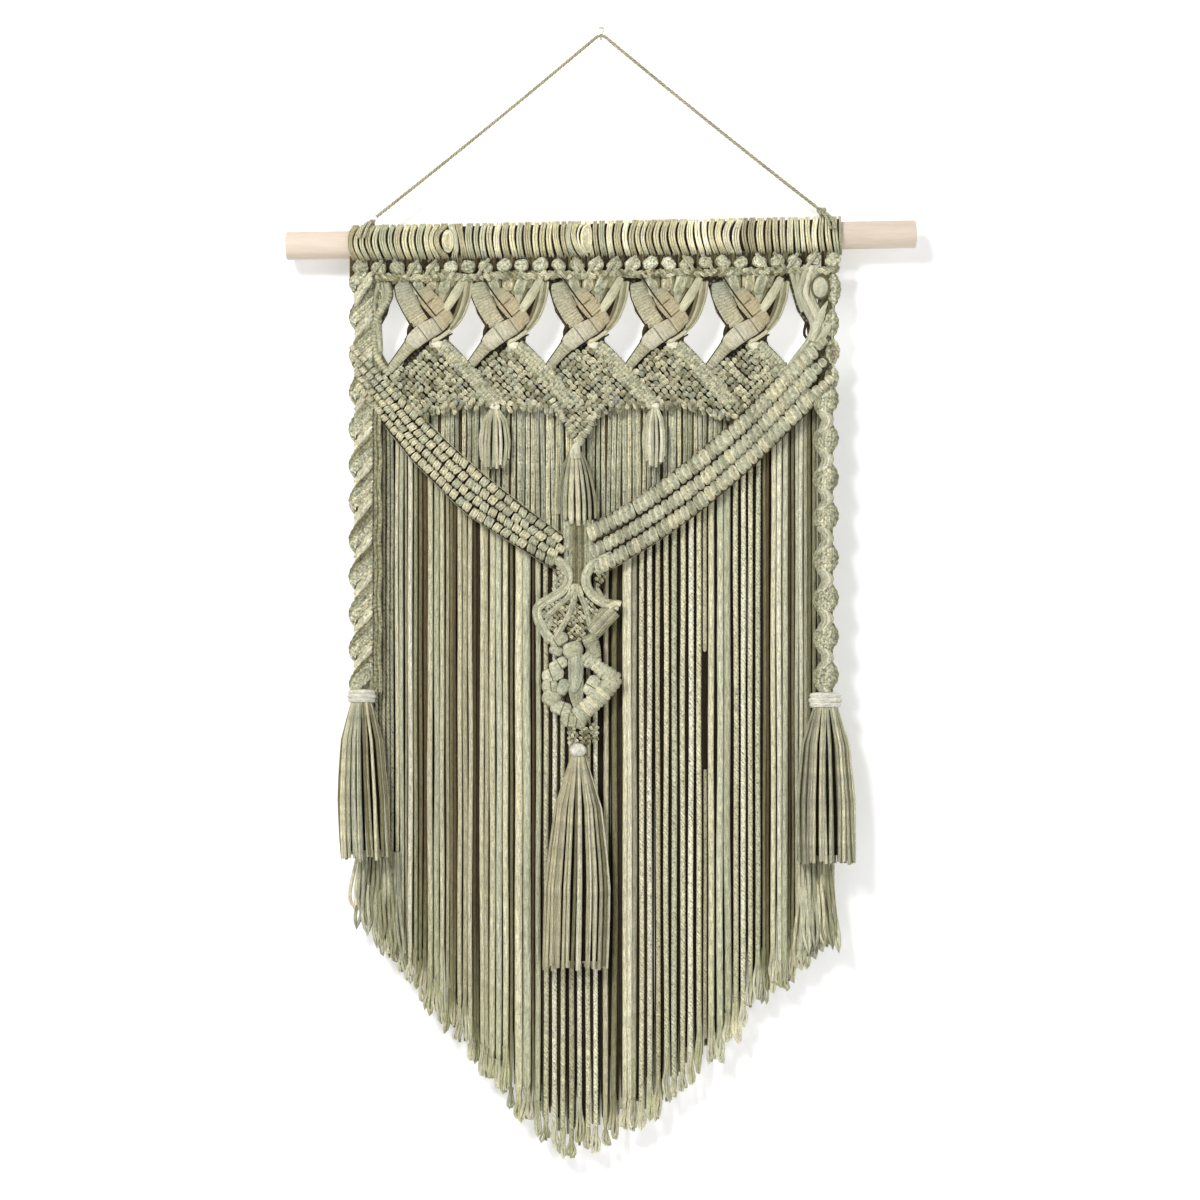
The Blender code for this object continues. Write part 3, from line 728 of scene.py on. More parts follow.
def oval(skein, centre, wide, tall, depth, tint):
    """A smooth oval pad; wide, tall and depth are half its size in grid steps."""
    line, radii = [], []
    for i in range(13):
        u = math.cos(math.pi * i / 12)
        line.append(centre + UP * (u * tall * STEP))
        radii.append(max(0.12, math.sin(math.pi * i / 12)) * wide * STEP)
    skein.cord(line, radii, tint, flat=depth / wide, sides=14)


def wrap_over(skein, centre, across, height, cord, tint, arc=85, sides=6, rings=6):
    """One turn of cord over a rope: across is half its reach, and it arches to the front."""
    line = []
    for i in range(rings):
        angle = math.radians(-arc + 2 * arc * i / (rings - 1))
        line.append(centre + across * math.sin(angle) - TO_WALL * (height * math.cos(angle)))
    radii = [cord * (0.8 if i in (0, rings - 1) else 1.0) for i in range(rings)]
    skein.cord(line, radii, tint, flat=0.9, sides=sides)


def wrap_along(skein, rng, route, halves, cord, names, height, spread=0.10, uneven=0.0, sides=6, rings=6):
    """Turns over the whole length of a route of points one pitch apart, with a dark cord inside that shows
    between them as painted shade.
    """
    for i, place in enumerate(route):
        reach = way_at(route, i).cross(TO_WALL).normalized() * halves[i]
        jolt = Vector((rng.uniform(-1, 1), rng.uniform(-0.5, 0.5), rng.uniform(-1, 1))) * uneven
        high, thick = height * rng.uniform(0.93, 1.07), cord * rng.uniform(0.92, 1.06)
        wrap_over(skein, place + jolt, reach, high, thick, pick(rng, names, spread), sides=sides, rings=rings)
    # The dark cord inside: painted shade between the turns.
    skein.cord(route, [half * 0.80 for half in halves], shade("bark"), flat=0.5, sides=6)


# The bead row and the bar under the heading.


def knot_bead_row(beads, cords):
    """Round knots under the heading with dark cords between them as painted shade, over the twisted bar."""
    rng = random.Random(8)
    column = 361.0
    while column < 836:
        row = dowel_row(column) + 26.0 + rng.uniform(-1.0, 1.0)
        wide = rng.uniform(5.6, 6.8)
        lean = rng.uniform(-2.0, 2.0)
        tint = pick(rng, ("sage", "pale_sage", "pale_sage", "sage"))
        start = on_grid(column - 1.6, row + lean, -0.0104)
        end = on_grid(column + 1.6, row - lean, -0.0104)
        capsule(beads, start, end, wide * STEP, tint, flat=0.70, sides=12, rings=9)
        if rng.random() < 0.6:
            way = rng.choice((-1, 1))
            line = [on_grid(column + way * (c - 3), row + r, d) for c, r, d in
                    ((-4, 7, -0.0118), (-1, 2, -0.0150), (3, -3, -0.0146), (6, -8, -0.0106))]
            cords.cord(smooth(line, 2 * STEP), 0.0014, mixed(tint, shade("cream"), 0.3), sides=6)
        # Dark cords between the knots: painted shade.
        for shift in (-9.6, -7.6):
            line = [on_grid(column + shift, row + d, -0.0068) for d in (-13, 0, 12)]
            cords.cord(line, 0.0014, pick(rng, ("olive", "bark", "shade"), 0.15), sides=6)
        column += 18.2 + rng.uniform(-1.0, 1.0)
    for phase in (0.0, math.pi):
        line, tints = [], []
        for i in range(250):
            column = 353 + 484 * i / 249
            turn = 2 * math.pi * column / 13.0 + phase
            row = dowel_row(column) + BAR_DROP + math.sin(column * 0.11) + 2.1 * math.sin(turn)
            line.append(on_grid(column, row, -0.0102 - 0.0016 * math.cos(turn)))
            tints.append(mixed(shade("moss"), shade("cream"), 0.45 + 0.5 * math.sin(column * 0.37 + phase)))
        cords.cord(line, 0.0019, tints, sides=7)
    column = 357.0
    while column < 836:
        row = dowel_row(column) + 36 + rng.uniform(-2.0, 2.0)
        lean = rng.choice((-2.4, 2.4, 1.0))
        start = on_grid(column - 2.6, row + lean, -0.0118)
        end = on_grid(column + 2.6, row - lean, -0.0118)
        tint = pick(rng, ("pale_sage", "cream", "moss", "sage", "olive"), 0.2)
        capsule(cords, start, end, 0.0016, tint, sides=6, rings=6)
        column += rng.uniform(5.0, 9.0)


# The crossings and the knotted zigzag below them.

# The middles of the five crossings.
CROSSINGS = ((431, 337), (507, 338), (587, 338), (666, 338), (747, 338))

# The crossings, counted from 0, whose ridged band is greyer at its top.
GREYER = (0, 4)

# The feet of the six openings between and beside the crossings.
OPENING_FEET = ((393, 372), (468, 371), (546, 368), (627, 368), (707, 371), (790, 367))

# The six through openings: centre column, half width, top row, bottom row.
OPENINGS = (
    (395.5, 17.5, 285, 373),
    (468.0, 19.5, 284, 372),
    (546.0, 20.5, 283, 370),
    (625.5, 21.0, 282, 370),
    (706.0, 22.5, 282, 373),
    (787.5, 20.5, 281, 369),
)

# An opening's outline: share of the way down, share of its half width.
OPENING_SHAPE = ((0.0, 0.05), (0.33, 0.45), (0.50, 0.92), (0.67, 1.0), (0.79, 0.82), (1.0, 0.05))

# The lower edge of the knotted zigzag.
ZIGZAG_HEM = (
    (372, 372), (393, 388), (423, 416), (448, 407), (490, 402), (530, 407), (556, 407), (579, 440),
    (600, 408), (640, 403), (690, 406), (735, 418), (792, 366), (830, 340),
)

# Places in FAN and FAN_KNOTS are counted from the middle of a crossing.
# The cords that fan out from the bar behind a crossing: route, half width, shade.
FAN = (
    (((-16, -66), (-13, -46), (-5, -30)), 3.4, "sage"), (((-9, -66), (-8, -48), (-2, -32)), 3.0, "moss"),
    (((-2, -66), (-1, -48), (2, -32)), 3.6, "sand"), (((6, -66), (6, -48), (6, -30)), 3.2, "moss"),
    (((14, -67), (13, -50), (10, -32)), 4.8, "sage"), (((22, -67), (19, -48), (12, -28)), 3.6, "olive"),
    (((-23, -66), (-19, -48), (-10, -32)), 3.2, "stone"),
)

# The knots among them: column, row, half length, half width, turn in degrees, shade.
FAN_KNOTS = (
    (-13, -53, 11, 5.2, 78, "sage"), (2, -56, 9, 4.8, 96, "sand"),
    (14, -54, 10, 5.4, 108, "sage"), (23, -57, 7, 4.0, 112, "moss"),
)

# The middle of the bead to the right of the last opening.
BEAD = (819.5, 288.5)


def zigzag_top(column):
    """The row where the dense knots start: the feet of the openings and the crossings."""
    table = sorted([*((c, r + 6) for c, r in CROSSINGS), *((c, r + 3) for c, r in OPENING_FEET)])
    return between([(360, 372), *table, (830, 340)], column)


def ribbon(skein, route, halves, tint, flat=0.34):
    """A flat band along a route, over the dark cord that shows along its edges as painted shade."""
    ends = (0, len(route) - 1)
    narrowed = [h * (0.86 if i in ends else 1.0) for i, h in enumerate(halves)]
    skein.cord(route, narrowed, tint, flat=flat, sides=14)
    # The dark cord beneath: painted shade along the band's edges.
    skein.cord(set_back(route, 0.0012), [h + 1.1 * STEP for h in halves], shade("shade"), flat=0.22)


def seam(skein, route, along, half, height, cord, tint):
    """The dark line across a band where two of its turns meet, as painted shade."""
    spot = route[round(along * (len(route) - 1))]
    side = (route[-1] - route[0]).normalized().cross(TO_WALL) * (half * STEP)
    arch = [spot + side * t - TO_WALL * (height * math.sqrt(1 - t * t) + 0.0001)
            for t in (-0.95, -0.6, -0.2, 0.2, 0.6, 0.95)]
    skein.cord(arch, cord * STEP, tint, sides=5)


def crossing(bound, wound, plain, knots, middle, row, number):
    """A ridged band from the upper left, and a smooth one from the upper right that runs over it."""
    rng = random.Random(40 + number)

    def at(places):
        return [(middle + c, row + r) for c, r in places]

    def band(places, depth):
        return grid_route(at(places), depth, 2.5)

    for c, r, tall, wide, turn, name in FAN_KNOTS:
        arm = leaning(turn) * ((tall - wide * 0.6) * STEP)
        spot = on_grid(middle + c + rng.uniform(-1, 1), row + r, -0.0094)
        tint = shade(name, rng.uniform(0.95, 1.1))
        capsule(knots, spot - arm, spot + arm, wide * STEP, tint, flat=0.5, sides=10, rings=9)
    for places, half, name in FAN:
        plain.lay(at(places), -0.0074, 4, half, shade(name, rng.uniform(0.8, 1.05)), flat=0.7)
    # The ridged band, greyer at the top.
    ridged = band(((-29, -55), (-26, -42), (-17, -24), (-6, -9), (5, 1)), -0.0096)
    top = shade("grey_green" if number in GREYER else "sage", 1.15)
    low = mixed(shade("cream", 1.02), shade("tan"), 0.5)
    tints = graded(ridged, top, low, lambda along: min(1.0, along * 1.5))
    ribbon(bound, ridged, shares(ridged, ((0.0, 7.0), (0.2, 8.8), (0.6, 8.6), (1.0, 7.6))), tints)
    # The tan band above it, and the dark line between the two, which is painted shade.
    tan = band(((-9, -47), (-1, -36), (9, -24), (19, -13)), -0.0102)
    tints = graded(tan, shade("sand"), shade("tan", 1.03), lambda along: math.sin(3.0 * along))
    ribbon(wound, tan, shares(tan, ((0.0, 6.8), (0.3, 9.4), (0.75, 9.2), (1.0, 7.0))), tints)
    plain.lay(at(((-24, -60), (-12, -42), (0, -27), (11, -13), (17, -6))), -0.0122, 2.5, 0.75, shade("shade"),
              sides=6)
    for along in (0.36, 0.68):
        seam(plain, tan, along, 7.5, 0.0026, 0.45, shade("olive", 0.8))
    # The inner strip, a dark cord in the gap beside it as painted shade, and the long outer cords on the
    # right.
    strip = band(((34, -60), (28, -48), (20, -35), (13, -25)), -0.0104)
    tints = graded(strip, shade("sage"), shade("cream"))
    ribbon(plain, strip, shares(strip, ((0.0, 3.8), (0.5, 5.0), (1.0, 4.0))), tints, flat=0.5)
    places = at(((36, -50), (28, -33), (18, -19), (14, -14)))
    plain.lay(places, -0.0086, 4, 3.8, shade("deep_shade"), flat=0.6, sides=6)
    for shift, name, half in ((1.5, "olive", 1.9), (4.6, "sand", 2.3),
                              (7.6, "moss", 1.9), (10.0, "cream", 1.5)):
        places = ((31 + shift, -56), (28.5 + shift, -38), (22 + shift * 0.9, -19), (13 + shift * 0.75, -7),
                  (5 + shift * 0.4, 0))
        plain.lay(at(places), -0.0098 + 0.0001 * shift, 4, half, shade(name, rng.uniform(0.85, 1.0)), sides=7)
    # The smooth band over the crossing, and its narrow end down to the opening's foot.
    over = band(((15, -17), (6, -11), (-5, -5), (-14, 2), (-20, 9)), -0.0124)
    tints = graded(over, shade("tan"), shade("ivory", 0.96), lambda along: min(0.85, 1.7 * along))
    ribbon(wound, over, shares(over, ((0.0, 7.0), (0.25, 8.8), (0.6, 9.4), (0.85, 8.6), (1.0, 7.4))), tints)
    for along in (0.24, 0.62):
        seam(plain, over, along, 9.0, 0.0029, 0.4, shade("moss", 0.7))
    foot = band(((-15, 3), (-24, 13), (-33, 24), (-42, 35)), -0.0104)
    tints = graded(foot, shade("sand", 1.1), shade("pale_sage"))
    ribbon(bound, foot, shares(foot, ((0.0, 7.6), (0.35, 5.6), (1.0, 3.6))), tints)
    # The dark curl that hugs the opening on the left, its darkness painted shade.
    places = at(((-16, -16), (-20.5, -10), (-22, -3), (-20, 4)))
    plain.lay(places, -0.0092, 2, 2.2, shade("shade", 1.3), sides=6)
    # The short pale strip with a dark cord under it as painted shade, the square knot under the crossing, and
    # the knotted band to the right.
    plain.lay(at(((2, 5), (10, 1), (20, -6))), -0.0128, 3, 2.0, shade("cream"))
    plain.lay(at(((4, 8), (12, 3), (22, -3))), -0.0126, 3, 0.8, shade("shade"), sides=6)
    spot = on_grid(middle + 6.5, row + 7.5, -0.0118)
    capsule(plain, spot - ACROSS * 0.0016, spot + ACROSS * 0.0016, 0.0036, shade("ivory", 0.95), flat=0.5)
    down = grid_route(at(((11, 9), (21, 18), (31, 28), (40, 38), (56, 56), (66, 66))), -0.0104, 3.5)
    slope = (down[-1] - down[0]).normalized().cross(TO_WALL)
    for place in down:
        for lane in (-4.3, 0.1, 4.4):
            jolt = Vector((rng.uniform(-1, 1), 0.0, rng.uniform(-1, 1))) * 0.0004
            tint = pick(rng, ("pale_sage", "cream", "pale_sage", "sage"), 0.10)
            wrap_over(knots, place + slope * lane * STEP + jolt, slope * 2.2 * STEP, 0.0022, 1.9 * STEP, tint,
                      rings=5)
    # Thin dark cords beside the knotted band: painted shade.
    plain.lay(at(((17, 4), (29, 16), (43, 32))), -0.0096, 4, 0.8, shade("olive"), sides=6)
    plain.lay(at(((4, 14), (14, 23), (26, 35), (38, 48))), -0.0106, 4, 0.8, shade("shade"), sides=6)


def knot_zigzag(skein):
    """Dense small knots, row on row at forty-five degrees, down to the zigzag hem."""
    rng = random.Random(77)
    pitch, lane = 4.7, 5.6
    for j in range(-10, 130):
        for i in range(-90, 130):
            column = 360 + (j * lane + i * pitch) * HALF_ROOT + rng.uniform(-0.9, 0.9)
            row = 300 + (j * lane - i * pitch) * HALF_ROOT + rng.uniform(-0.9, 0.9)
            if not (zigzag_top(column) + 1 < row < between(ZIGZAG_HEM, column) + 1) or not 372 < column < 800:
                continue
            if any(abs(column - c) < half * 0.7 and row < bottom - 6 for c, half, top, bottom in OPENINGS):
                continue
            near = min(abs(column - c) for c, r in CROSSINGS)
            names = ("sage", "pale_sage", "grey_green", "cream", "moss")
            if near < 24:
                names = ("cream", "sand", "sage", "pale_sage", "cream", "moss")
            tint = lit(pick(rng, names, 0.22), 0.90)
            depth = -0.0094 + rng.uniform(-0.0007, 0.0007)
            side = leaning(45 - rng.gauss(0, 16))
            size = rng.uniform(0.85, 1.2)
            wrap_over(skein, on_grid(column, row, depth), side * (2.2 * STEP * size), 0.0022 * size,
                      2.15 * STEP * size, tint, arc=78, rings=5)


def knot_zigzag_edge(skein):
    """The two lines of knots that draw together above the upper tassel, and single knots along the hem."""
    rng = random.Random(78)
    for places in (((552, 402), (562, 416), (572, 432), (579, 444)),
                   ((604, 404), (594, 418), (586, 432), (580, 444))):
        route = grid_route(places, -0.0100, 4.6)
        wrap_along(skein, rng, route, [2.6 * STEP] * len(route), 2.1 * STEP, ("sage", "cream", "pale_sage"),
                   0.0026, spread=0.2, uneven=0.0008)
    column = 408.0
    while column < 736:
        row = between(ZIGZAG_HEM, column) + rng.uniform(-2, 4)
        lean = rng.uniform(-2.5, 2.5)
        start, end = on_grid(column + lean, row - 3.4, -0.0092), on_grid(column - lean, row + 3.4, -0.0086)
        tint = pick(rng, ("sage", "pale_sage", "cream", "moss"), 0.15)
        capsule(skein, start, end, 2.3 * STEP, tint, sides=6, rings=6)
        column += rng.uniform(4.0, 7.0)


def weave_backing():
    """The cords that pass behind the openings' rims, as one dark woven layer whose darkness is painted shade.
    """
    curve = bpy.data.curves.new("backing_weave", "CURVE")
    curve.dimensions = "2D"
    curve.fill_mode = "BOTH"
    curve.extrude = 0.0009
    left, right = 368, 812
    rim = [(left, dowel_row(left) + 13), (left, 366), *ZIGZAG_HEM[1:-1], (right, 350),
           (right, dowel_row(right) + 13)]
    rings = [rim]
    for centre, half, top, bottom in OPENINGS:
        side = [(centre + half * out, top + (bottom - top) * down) for down, out in OPENING_SHAPE]
        rings.append(side + [(2 * centre - c, r) for c, r in reversed(side)])
    for ring in rings:
        spline = curve.splines.new("POLY")
        spline.points.add(len(ring) - 1)
        for point, (column, row) in zip(spline.points, ring):
            place = on_grid(column, row)
            point.co = (place.x, place.z, 0.0, 1.0)
        spline.use_cyclic_u = True
    flat = bpy.data.objects.new("backing_weave", curve)
    bpy.context.scene.collection.objects.link(flat)
    bpy.context.view_layer.update()
    graph = bpy.context.evaluated_depsgraph_get()
    mesh = bpy.data.meshes.new_from_object(flat.evaluated_get(graph))
    bpy.data.objects.remove(flat)
    for vertex in mesh.vertices:
        x, z, y = vertex.co
        vertex.co = (x, BACKING_DEPTH - y, z)
    thing = bpy.data.objects.new("backing_weave", mesh)
    bpy.context.scene.collection.objects.link(thing)
    put_on_root(thing, BACKING, "cream", "lattice")


def dress_left_rim(skein):
    """The leaf and the dark wraps beside the first opening: the darkness is painted shade, from the dark
    cords inside and beside them.
    """
    rng = random.Random(61)
    leaf = skein.lay(((385, 283), (386, 296), (380, 312)), -0.0090, 3, ((0, 4.5), (0.35, 7.0), (1.0, 2.0)),
                     shade("pale_sage"), flat=0.45, sides=10)
    for shift in (-3.0, 0.0, 3.0):
        vein = [place + ACROSS * shift * STEP * (1 - 0.6 * i / len(leaf)) for i, place in enumerate(leaf)]
        tint = pick(rng, ("sage", "pale_sage", "cream"), 0.1)
        skein.cord(set_back(vein, -0.0022), 1.3 * STEP, tint, sides=6)
    # A dark cord beside the wraps: painted shade.
    places = ((390, 282), (392, 297), (384, 312), (378, 325), (377, 340), (380, 352), (391, 372))
    skein.lay(places, -0.0088, 3, 1.6, shade("olive", 0.7), sides=6)
    places = ((387, 286), (389, 297), (381, 311), (374, 326), (373, 342), (376, 356), (388, 374))
    inner = grid_route(places, -0.0086, 3.4)
    wrap_along(skein, rng, inner, [2.8 * STEP] * len(inner), 2.0 * STEP,
               ("pale_sage", "sage", "cream"), 0.0024, spread=0.15)
    for places in (((372, 282), (369, 300), (375, 322), (372, 345)),
                   ((379, 282), (374, 304), (378, 330), (381, 352))):
        skein.lay(places, -0.0090, 4, 2.8, pick(rng, ("sage", "pale_sage"), 0.1), sides=7)


def dress_right_rim(skein):
    """The smooth loop and the bead to the right of the last opening."""
    rng = random.Random(62)
    for places, name in (
        (((806, 266), (803, 280), (799, 294), (806, 310), (813, 326), (808, 342), (796, 358),
          (789, 369)), "pale_sage"),
        (((811, 266), (808, 280), (805.5, 295), (813, 311), (818, 327), (813, 343), (802, 358),
          (795, 370)), "ivory"),
        (((816, 266), (814, 281), (812.5, 300), (819, 314), (823, 330), (818, 344), (808, 356),
          (800, 368)), "pale_sage"),
    ):
        skein.lay(places, -0.0108, 3.5, 3.5, shade(name, 0.84))
    for places, half in ((((789, 266), (792, 276), (796, 290), (800, 304)), 2.8),
                         (((796, 266), (798, 280), (797, 294), (803, 312)), 3.0)):
        skein.lay(places, -0.0094, 3.5, half, shade("sage", 1.05), sides=7)
    for places, half in ((((827, 302), (822, 312), (815, 330), (811, 342)), 4.2),
                         (((832, 320), (824, 334), (815, 348)), 3.6)):
        widening = ((0.0, 0.8), (0.35, half), (1.0, half))
        skein.lay(places, -0.0136, 3, widening, shade("pale_sage", 1.05), flat=0.6)
    column, row = BEAD
    oval(skein, on_grid(column, row, -0.0156), 8.2, 10.8, 3.4, shade("pale_sage", 0.92))
    # A dark ring round the bead: painted shade.
    rim = [on_grid(column + 8.4 * math.cos(a), row + 11.0 * math.sin(a), -0.0158) for a in round_turn(26)]
    skein.cord(rim, 1.3 * STEP, shade("olive", 0.8), sides=6, closed=True)
    # A short dark cord: painted shade.
    skein.lay(((806, 322), (804, 334), (808, 340)), -0.0086, 3, 1.5, shade("shade"), sides=6)
    for column in (827, 832):
        line = [on_grid(column, row, -0.0085) for row in (270, 300, 330)]
        skein.cord(line, 2.8 * STEP, pick(rng, ("sage", "moss"), 0.1), sides=7)


def make_lattice():
    """The whole top panel."""
    beads, cords = Skein(), Skein()
    knot_bead_row(beads, cords)
    beads.piece("bead_row", KNOBBLY, "sage", "lattice")
    cords.piece("knotted_bar", SPECKLED, "sage", "lattice")
    bound, wound, plain, knots = Skein(3.1 * STEP), Skein(4.2 * STEP), Skein(), Skein()
    for number, (column, line) in enumerate(CROSSINGS):
        crossing(bound, wound, plain, knots, column, line, number)
    dress_left_rim(plain)
    dress_right_rim(plain)
    knot_zigzag(knots)
    knot_zigzag_edge(knots)
    bound.piece("ridged_bands", BOUND, "cream", "lattice")
    wound.piece("wound_bands", WOUND, "cream", "lattice")
    plain.piece("smooth_bands", PLAIN_BAND, "cream", "lattice")
    knots.piece("zigzag_knots", SPECKLED, "sage", "lattice")
    weave_backing()


# The diagonal bands.

# The upper and lower edge of the left band.
LEFT_UPPER = ((352, 341), (360, 350), (400, 395), (440, 436), (480, 472), (520, 505), (561, 536), (572, 545))
LEFT_LOWER = ((352, 383), (371, 406), (416, 463), (469, 516), (551, 566), (566, 572), (572, 575))

# The middle lines of the right band's three ropes, and their half widths from column to column.
RIGHT_ROPES = (
    ((590, 534), (640, 505), (690, 469), (740, 427), (766, 401), (797, 368), (828, 337)),
    ((593, 552), (640, 525), (690, 490), (740, 448), (768, 420), (799, 387), (829, 356)),
    ((597, 568), (640, 543), (690, 509), (740, 467), (770, 438), (802, 406), (831, 378)),
)
RIGHT_ROPE_HALVES = (
    ((590, 6.6), (640, 7.4), (700, 7.0), (780, 6.6), (825, 7.6)),
    ((590, 6.0), (640, 5.8), (780, 6.4), (825, 7.6)),
    ((590, 6.4), (700, 6.2), (780, 6.6), (825, 8.0)),
)


def knot_left_band():
    """Four rows of paired knots, side by side down to the middle, larger towards it."""
    rng = random.Random(91)
    skein = Skein()
    rows = 4
    for j in range(rows):
        share = (j + 0.5) / rows
        places = []
        for column in range(354 + 2 * j, 576 - 3 * j, 8):
            upper, lower = between(LEFT_UPPER, column), between(LEFT_LOWER, column)
            places.append((column, upper + (lower - upper) * share))
        route = grid_route(places, -0.0102 - 0.0004 * (j % 2), 1.0)
        walked = rng.uniform(0, 6)
        while walked < len(route) - 5:
            place, after = route[int(walked)].copy(), route[int(walked) + 3]
            direction = (after - place).normalized()
            side = direction.cross(TO_WALL)
            column = NAIL_COLUMN + place.x / STEP
            place.y -= 0.0055 * max(0.0, min(1.0, (374 - column) / 12))
            tall = (between(LEFT_LOWER, column) - between(LEFT_UPPER, column)) * abs(direction.x) / rows
            size = between(((360, 7.8), (450, 8.8), (520, 10.0), (565, 12.0)), column) * rng.uniform(0.9, 1.1)
            names = ("cream", "pale_sage", "cream") if column < 500 else ("pale_sage", "cream", "sage")
            tint = lit(pick(rng, names), 0.93)
            high = 0.0044 * rng.uniform(0.9, 1.1) * (0.75 + 0.025 * size)
            jolt = side * rng.uniform(-0.0005, 0.0005)
            lean = direction * (size * rng.uniform(-0.12, 0.10) * STEP)
            for way in (-1, 1):
                spot = place + direction * (way * size * 0.20 * STEP) + jolt
                wrap_over(skein, spot, side * (tall * 0.345 * STEP) + lean, high, size * 0.235 * STEP,
                          lit(tint, rng.uniform(0.98, 1.12)), arc=82, sides=8, rings=8)
            walked += size
        # A dark cord under each row of knots: painted shade between them; a paler layer behind it.
        skein.cord(set_back(route[::5], 0.0012), 5.4 * STEP, shade("shade"), flat=0.35, sides=6)
        skein.cord(set_back(route[::6], 0.0034), 6.0 * STEP, shade("sage"), flat=0.18)
    skein.piece("knotted_band_left", SPECKLED, "sage", "band_left")


def wrap_right_band():
    """Three ropes side by side, each wrapped turn by turn with the turns nearly upright."""
    rng = random.Random(92)
    skein = Skein()
    for places, halves in zip(RIGHT_ROPES, RIGHT_ROPE_HALVES):
        route = grid_route(places, -0.0100, 1.0)
        walked = 2.0
        while walked < len(route) - 4:
            place, after = route[int(walked)].copy(), route[int(walked) + 3]
            column = NAIL_COLUMN + place.x / STEP
            place.y -= 0.0050 * max(0.0, min(1.0, (column - 808) / 12))
            direction = (after - place).normalized()
            size = 7.6 * rng.uniform(0.86, 1.14)
            half = between(halves, column)
            tint = lit(pick(rng, ("sage", "pale_sage", "cream", "pale_sage")), 0.92)
            side = direction.cross(TO_WALL)
            side = side if side.z > 0 else -side
            reach = (side * (half + rng.uniform(-0.3, 0.4)) + direction * 1.6) * STEP
            line, radii = [], []
            for k in range(9):
                angle = math.radians(-84 + 21 * k)
                line.append(place + reach * math.sin(angle) - TO_WALL * (0.0050 * math.cos(angle)))
                radii.append(size * 0.57 * STEP * (0.45 + 0.55 * math.cos(angle) ** 0.7))
            skein.cord(line, radii, tint, flat=0.62, sides=9)
            walked += size
        # A dark backing under each rope: painted shade between the ropes and their turns; a paler layer
        # behind it.
        dark = set_back(route[::6], 0.0010)
        wide = [between(((600, 8.2), (780, 9.0), (815, 9.5), (832, 5.0)), NAIL_COLUMN + d.x / STEP) * STEP
                for d in dark]
        skein.cord(dark, wide, shade("bark", 0.8), flat=0.22)
        skein.cord(set_back(route[::6], 0.0034), 8.6 * STEP, shade("sage"), flat=0.12)
    skein.piece("wrapped_band_right", SPECKLED, "sage", "band_right")


# Strands.


def hang(skein, rng, column, top, bottom, depth, half, tint, sway=0.6, step=14, sides=8,
         flat=0.85, twist=None, end=0.8, green=0.0):
    """A strand that hangs from one row to another, a little uneven, and greener at its foot by
    a share; end is how far its last point narrows. Returns its lower end."""
    count = max(2, round((bottom - top) / step))
    phase = rng.uniform(0, 10)
    line, radii, tints = [], [], []
    for i in range(count + 1):
        row = top + (bottom - top) * i / count
        drift = noise.noise(Vector((column * 0.7, row * 0.006, phase)))
        line.append(on_grid(column + drift * sway * 2, row, depth + drift * 0.0006))
        radii.append(half * STEP * (1 + 0.06 * noise.noise(Vector((column, row * 0.03, phase)))))
        light = 1 + 0.14 * noise.noise(Vector((phase * 3, row * 0.012, 5.0)))
        greener = mixed(tint, shade("fern"), green * max(0.0, 1 - (bottom - row) / 110))
        tints.append(lit(greener, light))
    radii[-1] *= end
    skein.cord(line, radii, tints, flat=flat, sides=sides, twist=twist)
    return line[-1]


# A twisted strand: its yarns, the length of a turn in metres, and the depth of its groove.
ROPE_TWIST = (3, 0.0105, 0.13)

# How far a strand of the curtain turns to fern green at its foot.
GREENING = 0.40

# The column of the short cord that ends above a gap.
SHORT_COLUMN = 705.2

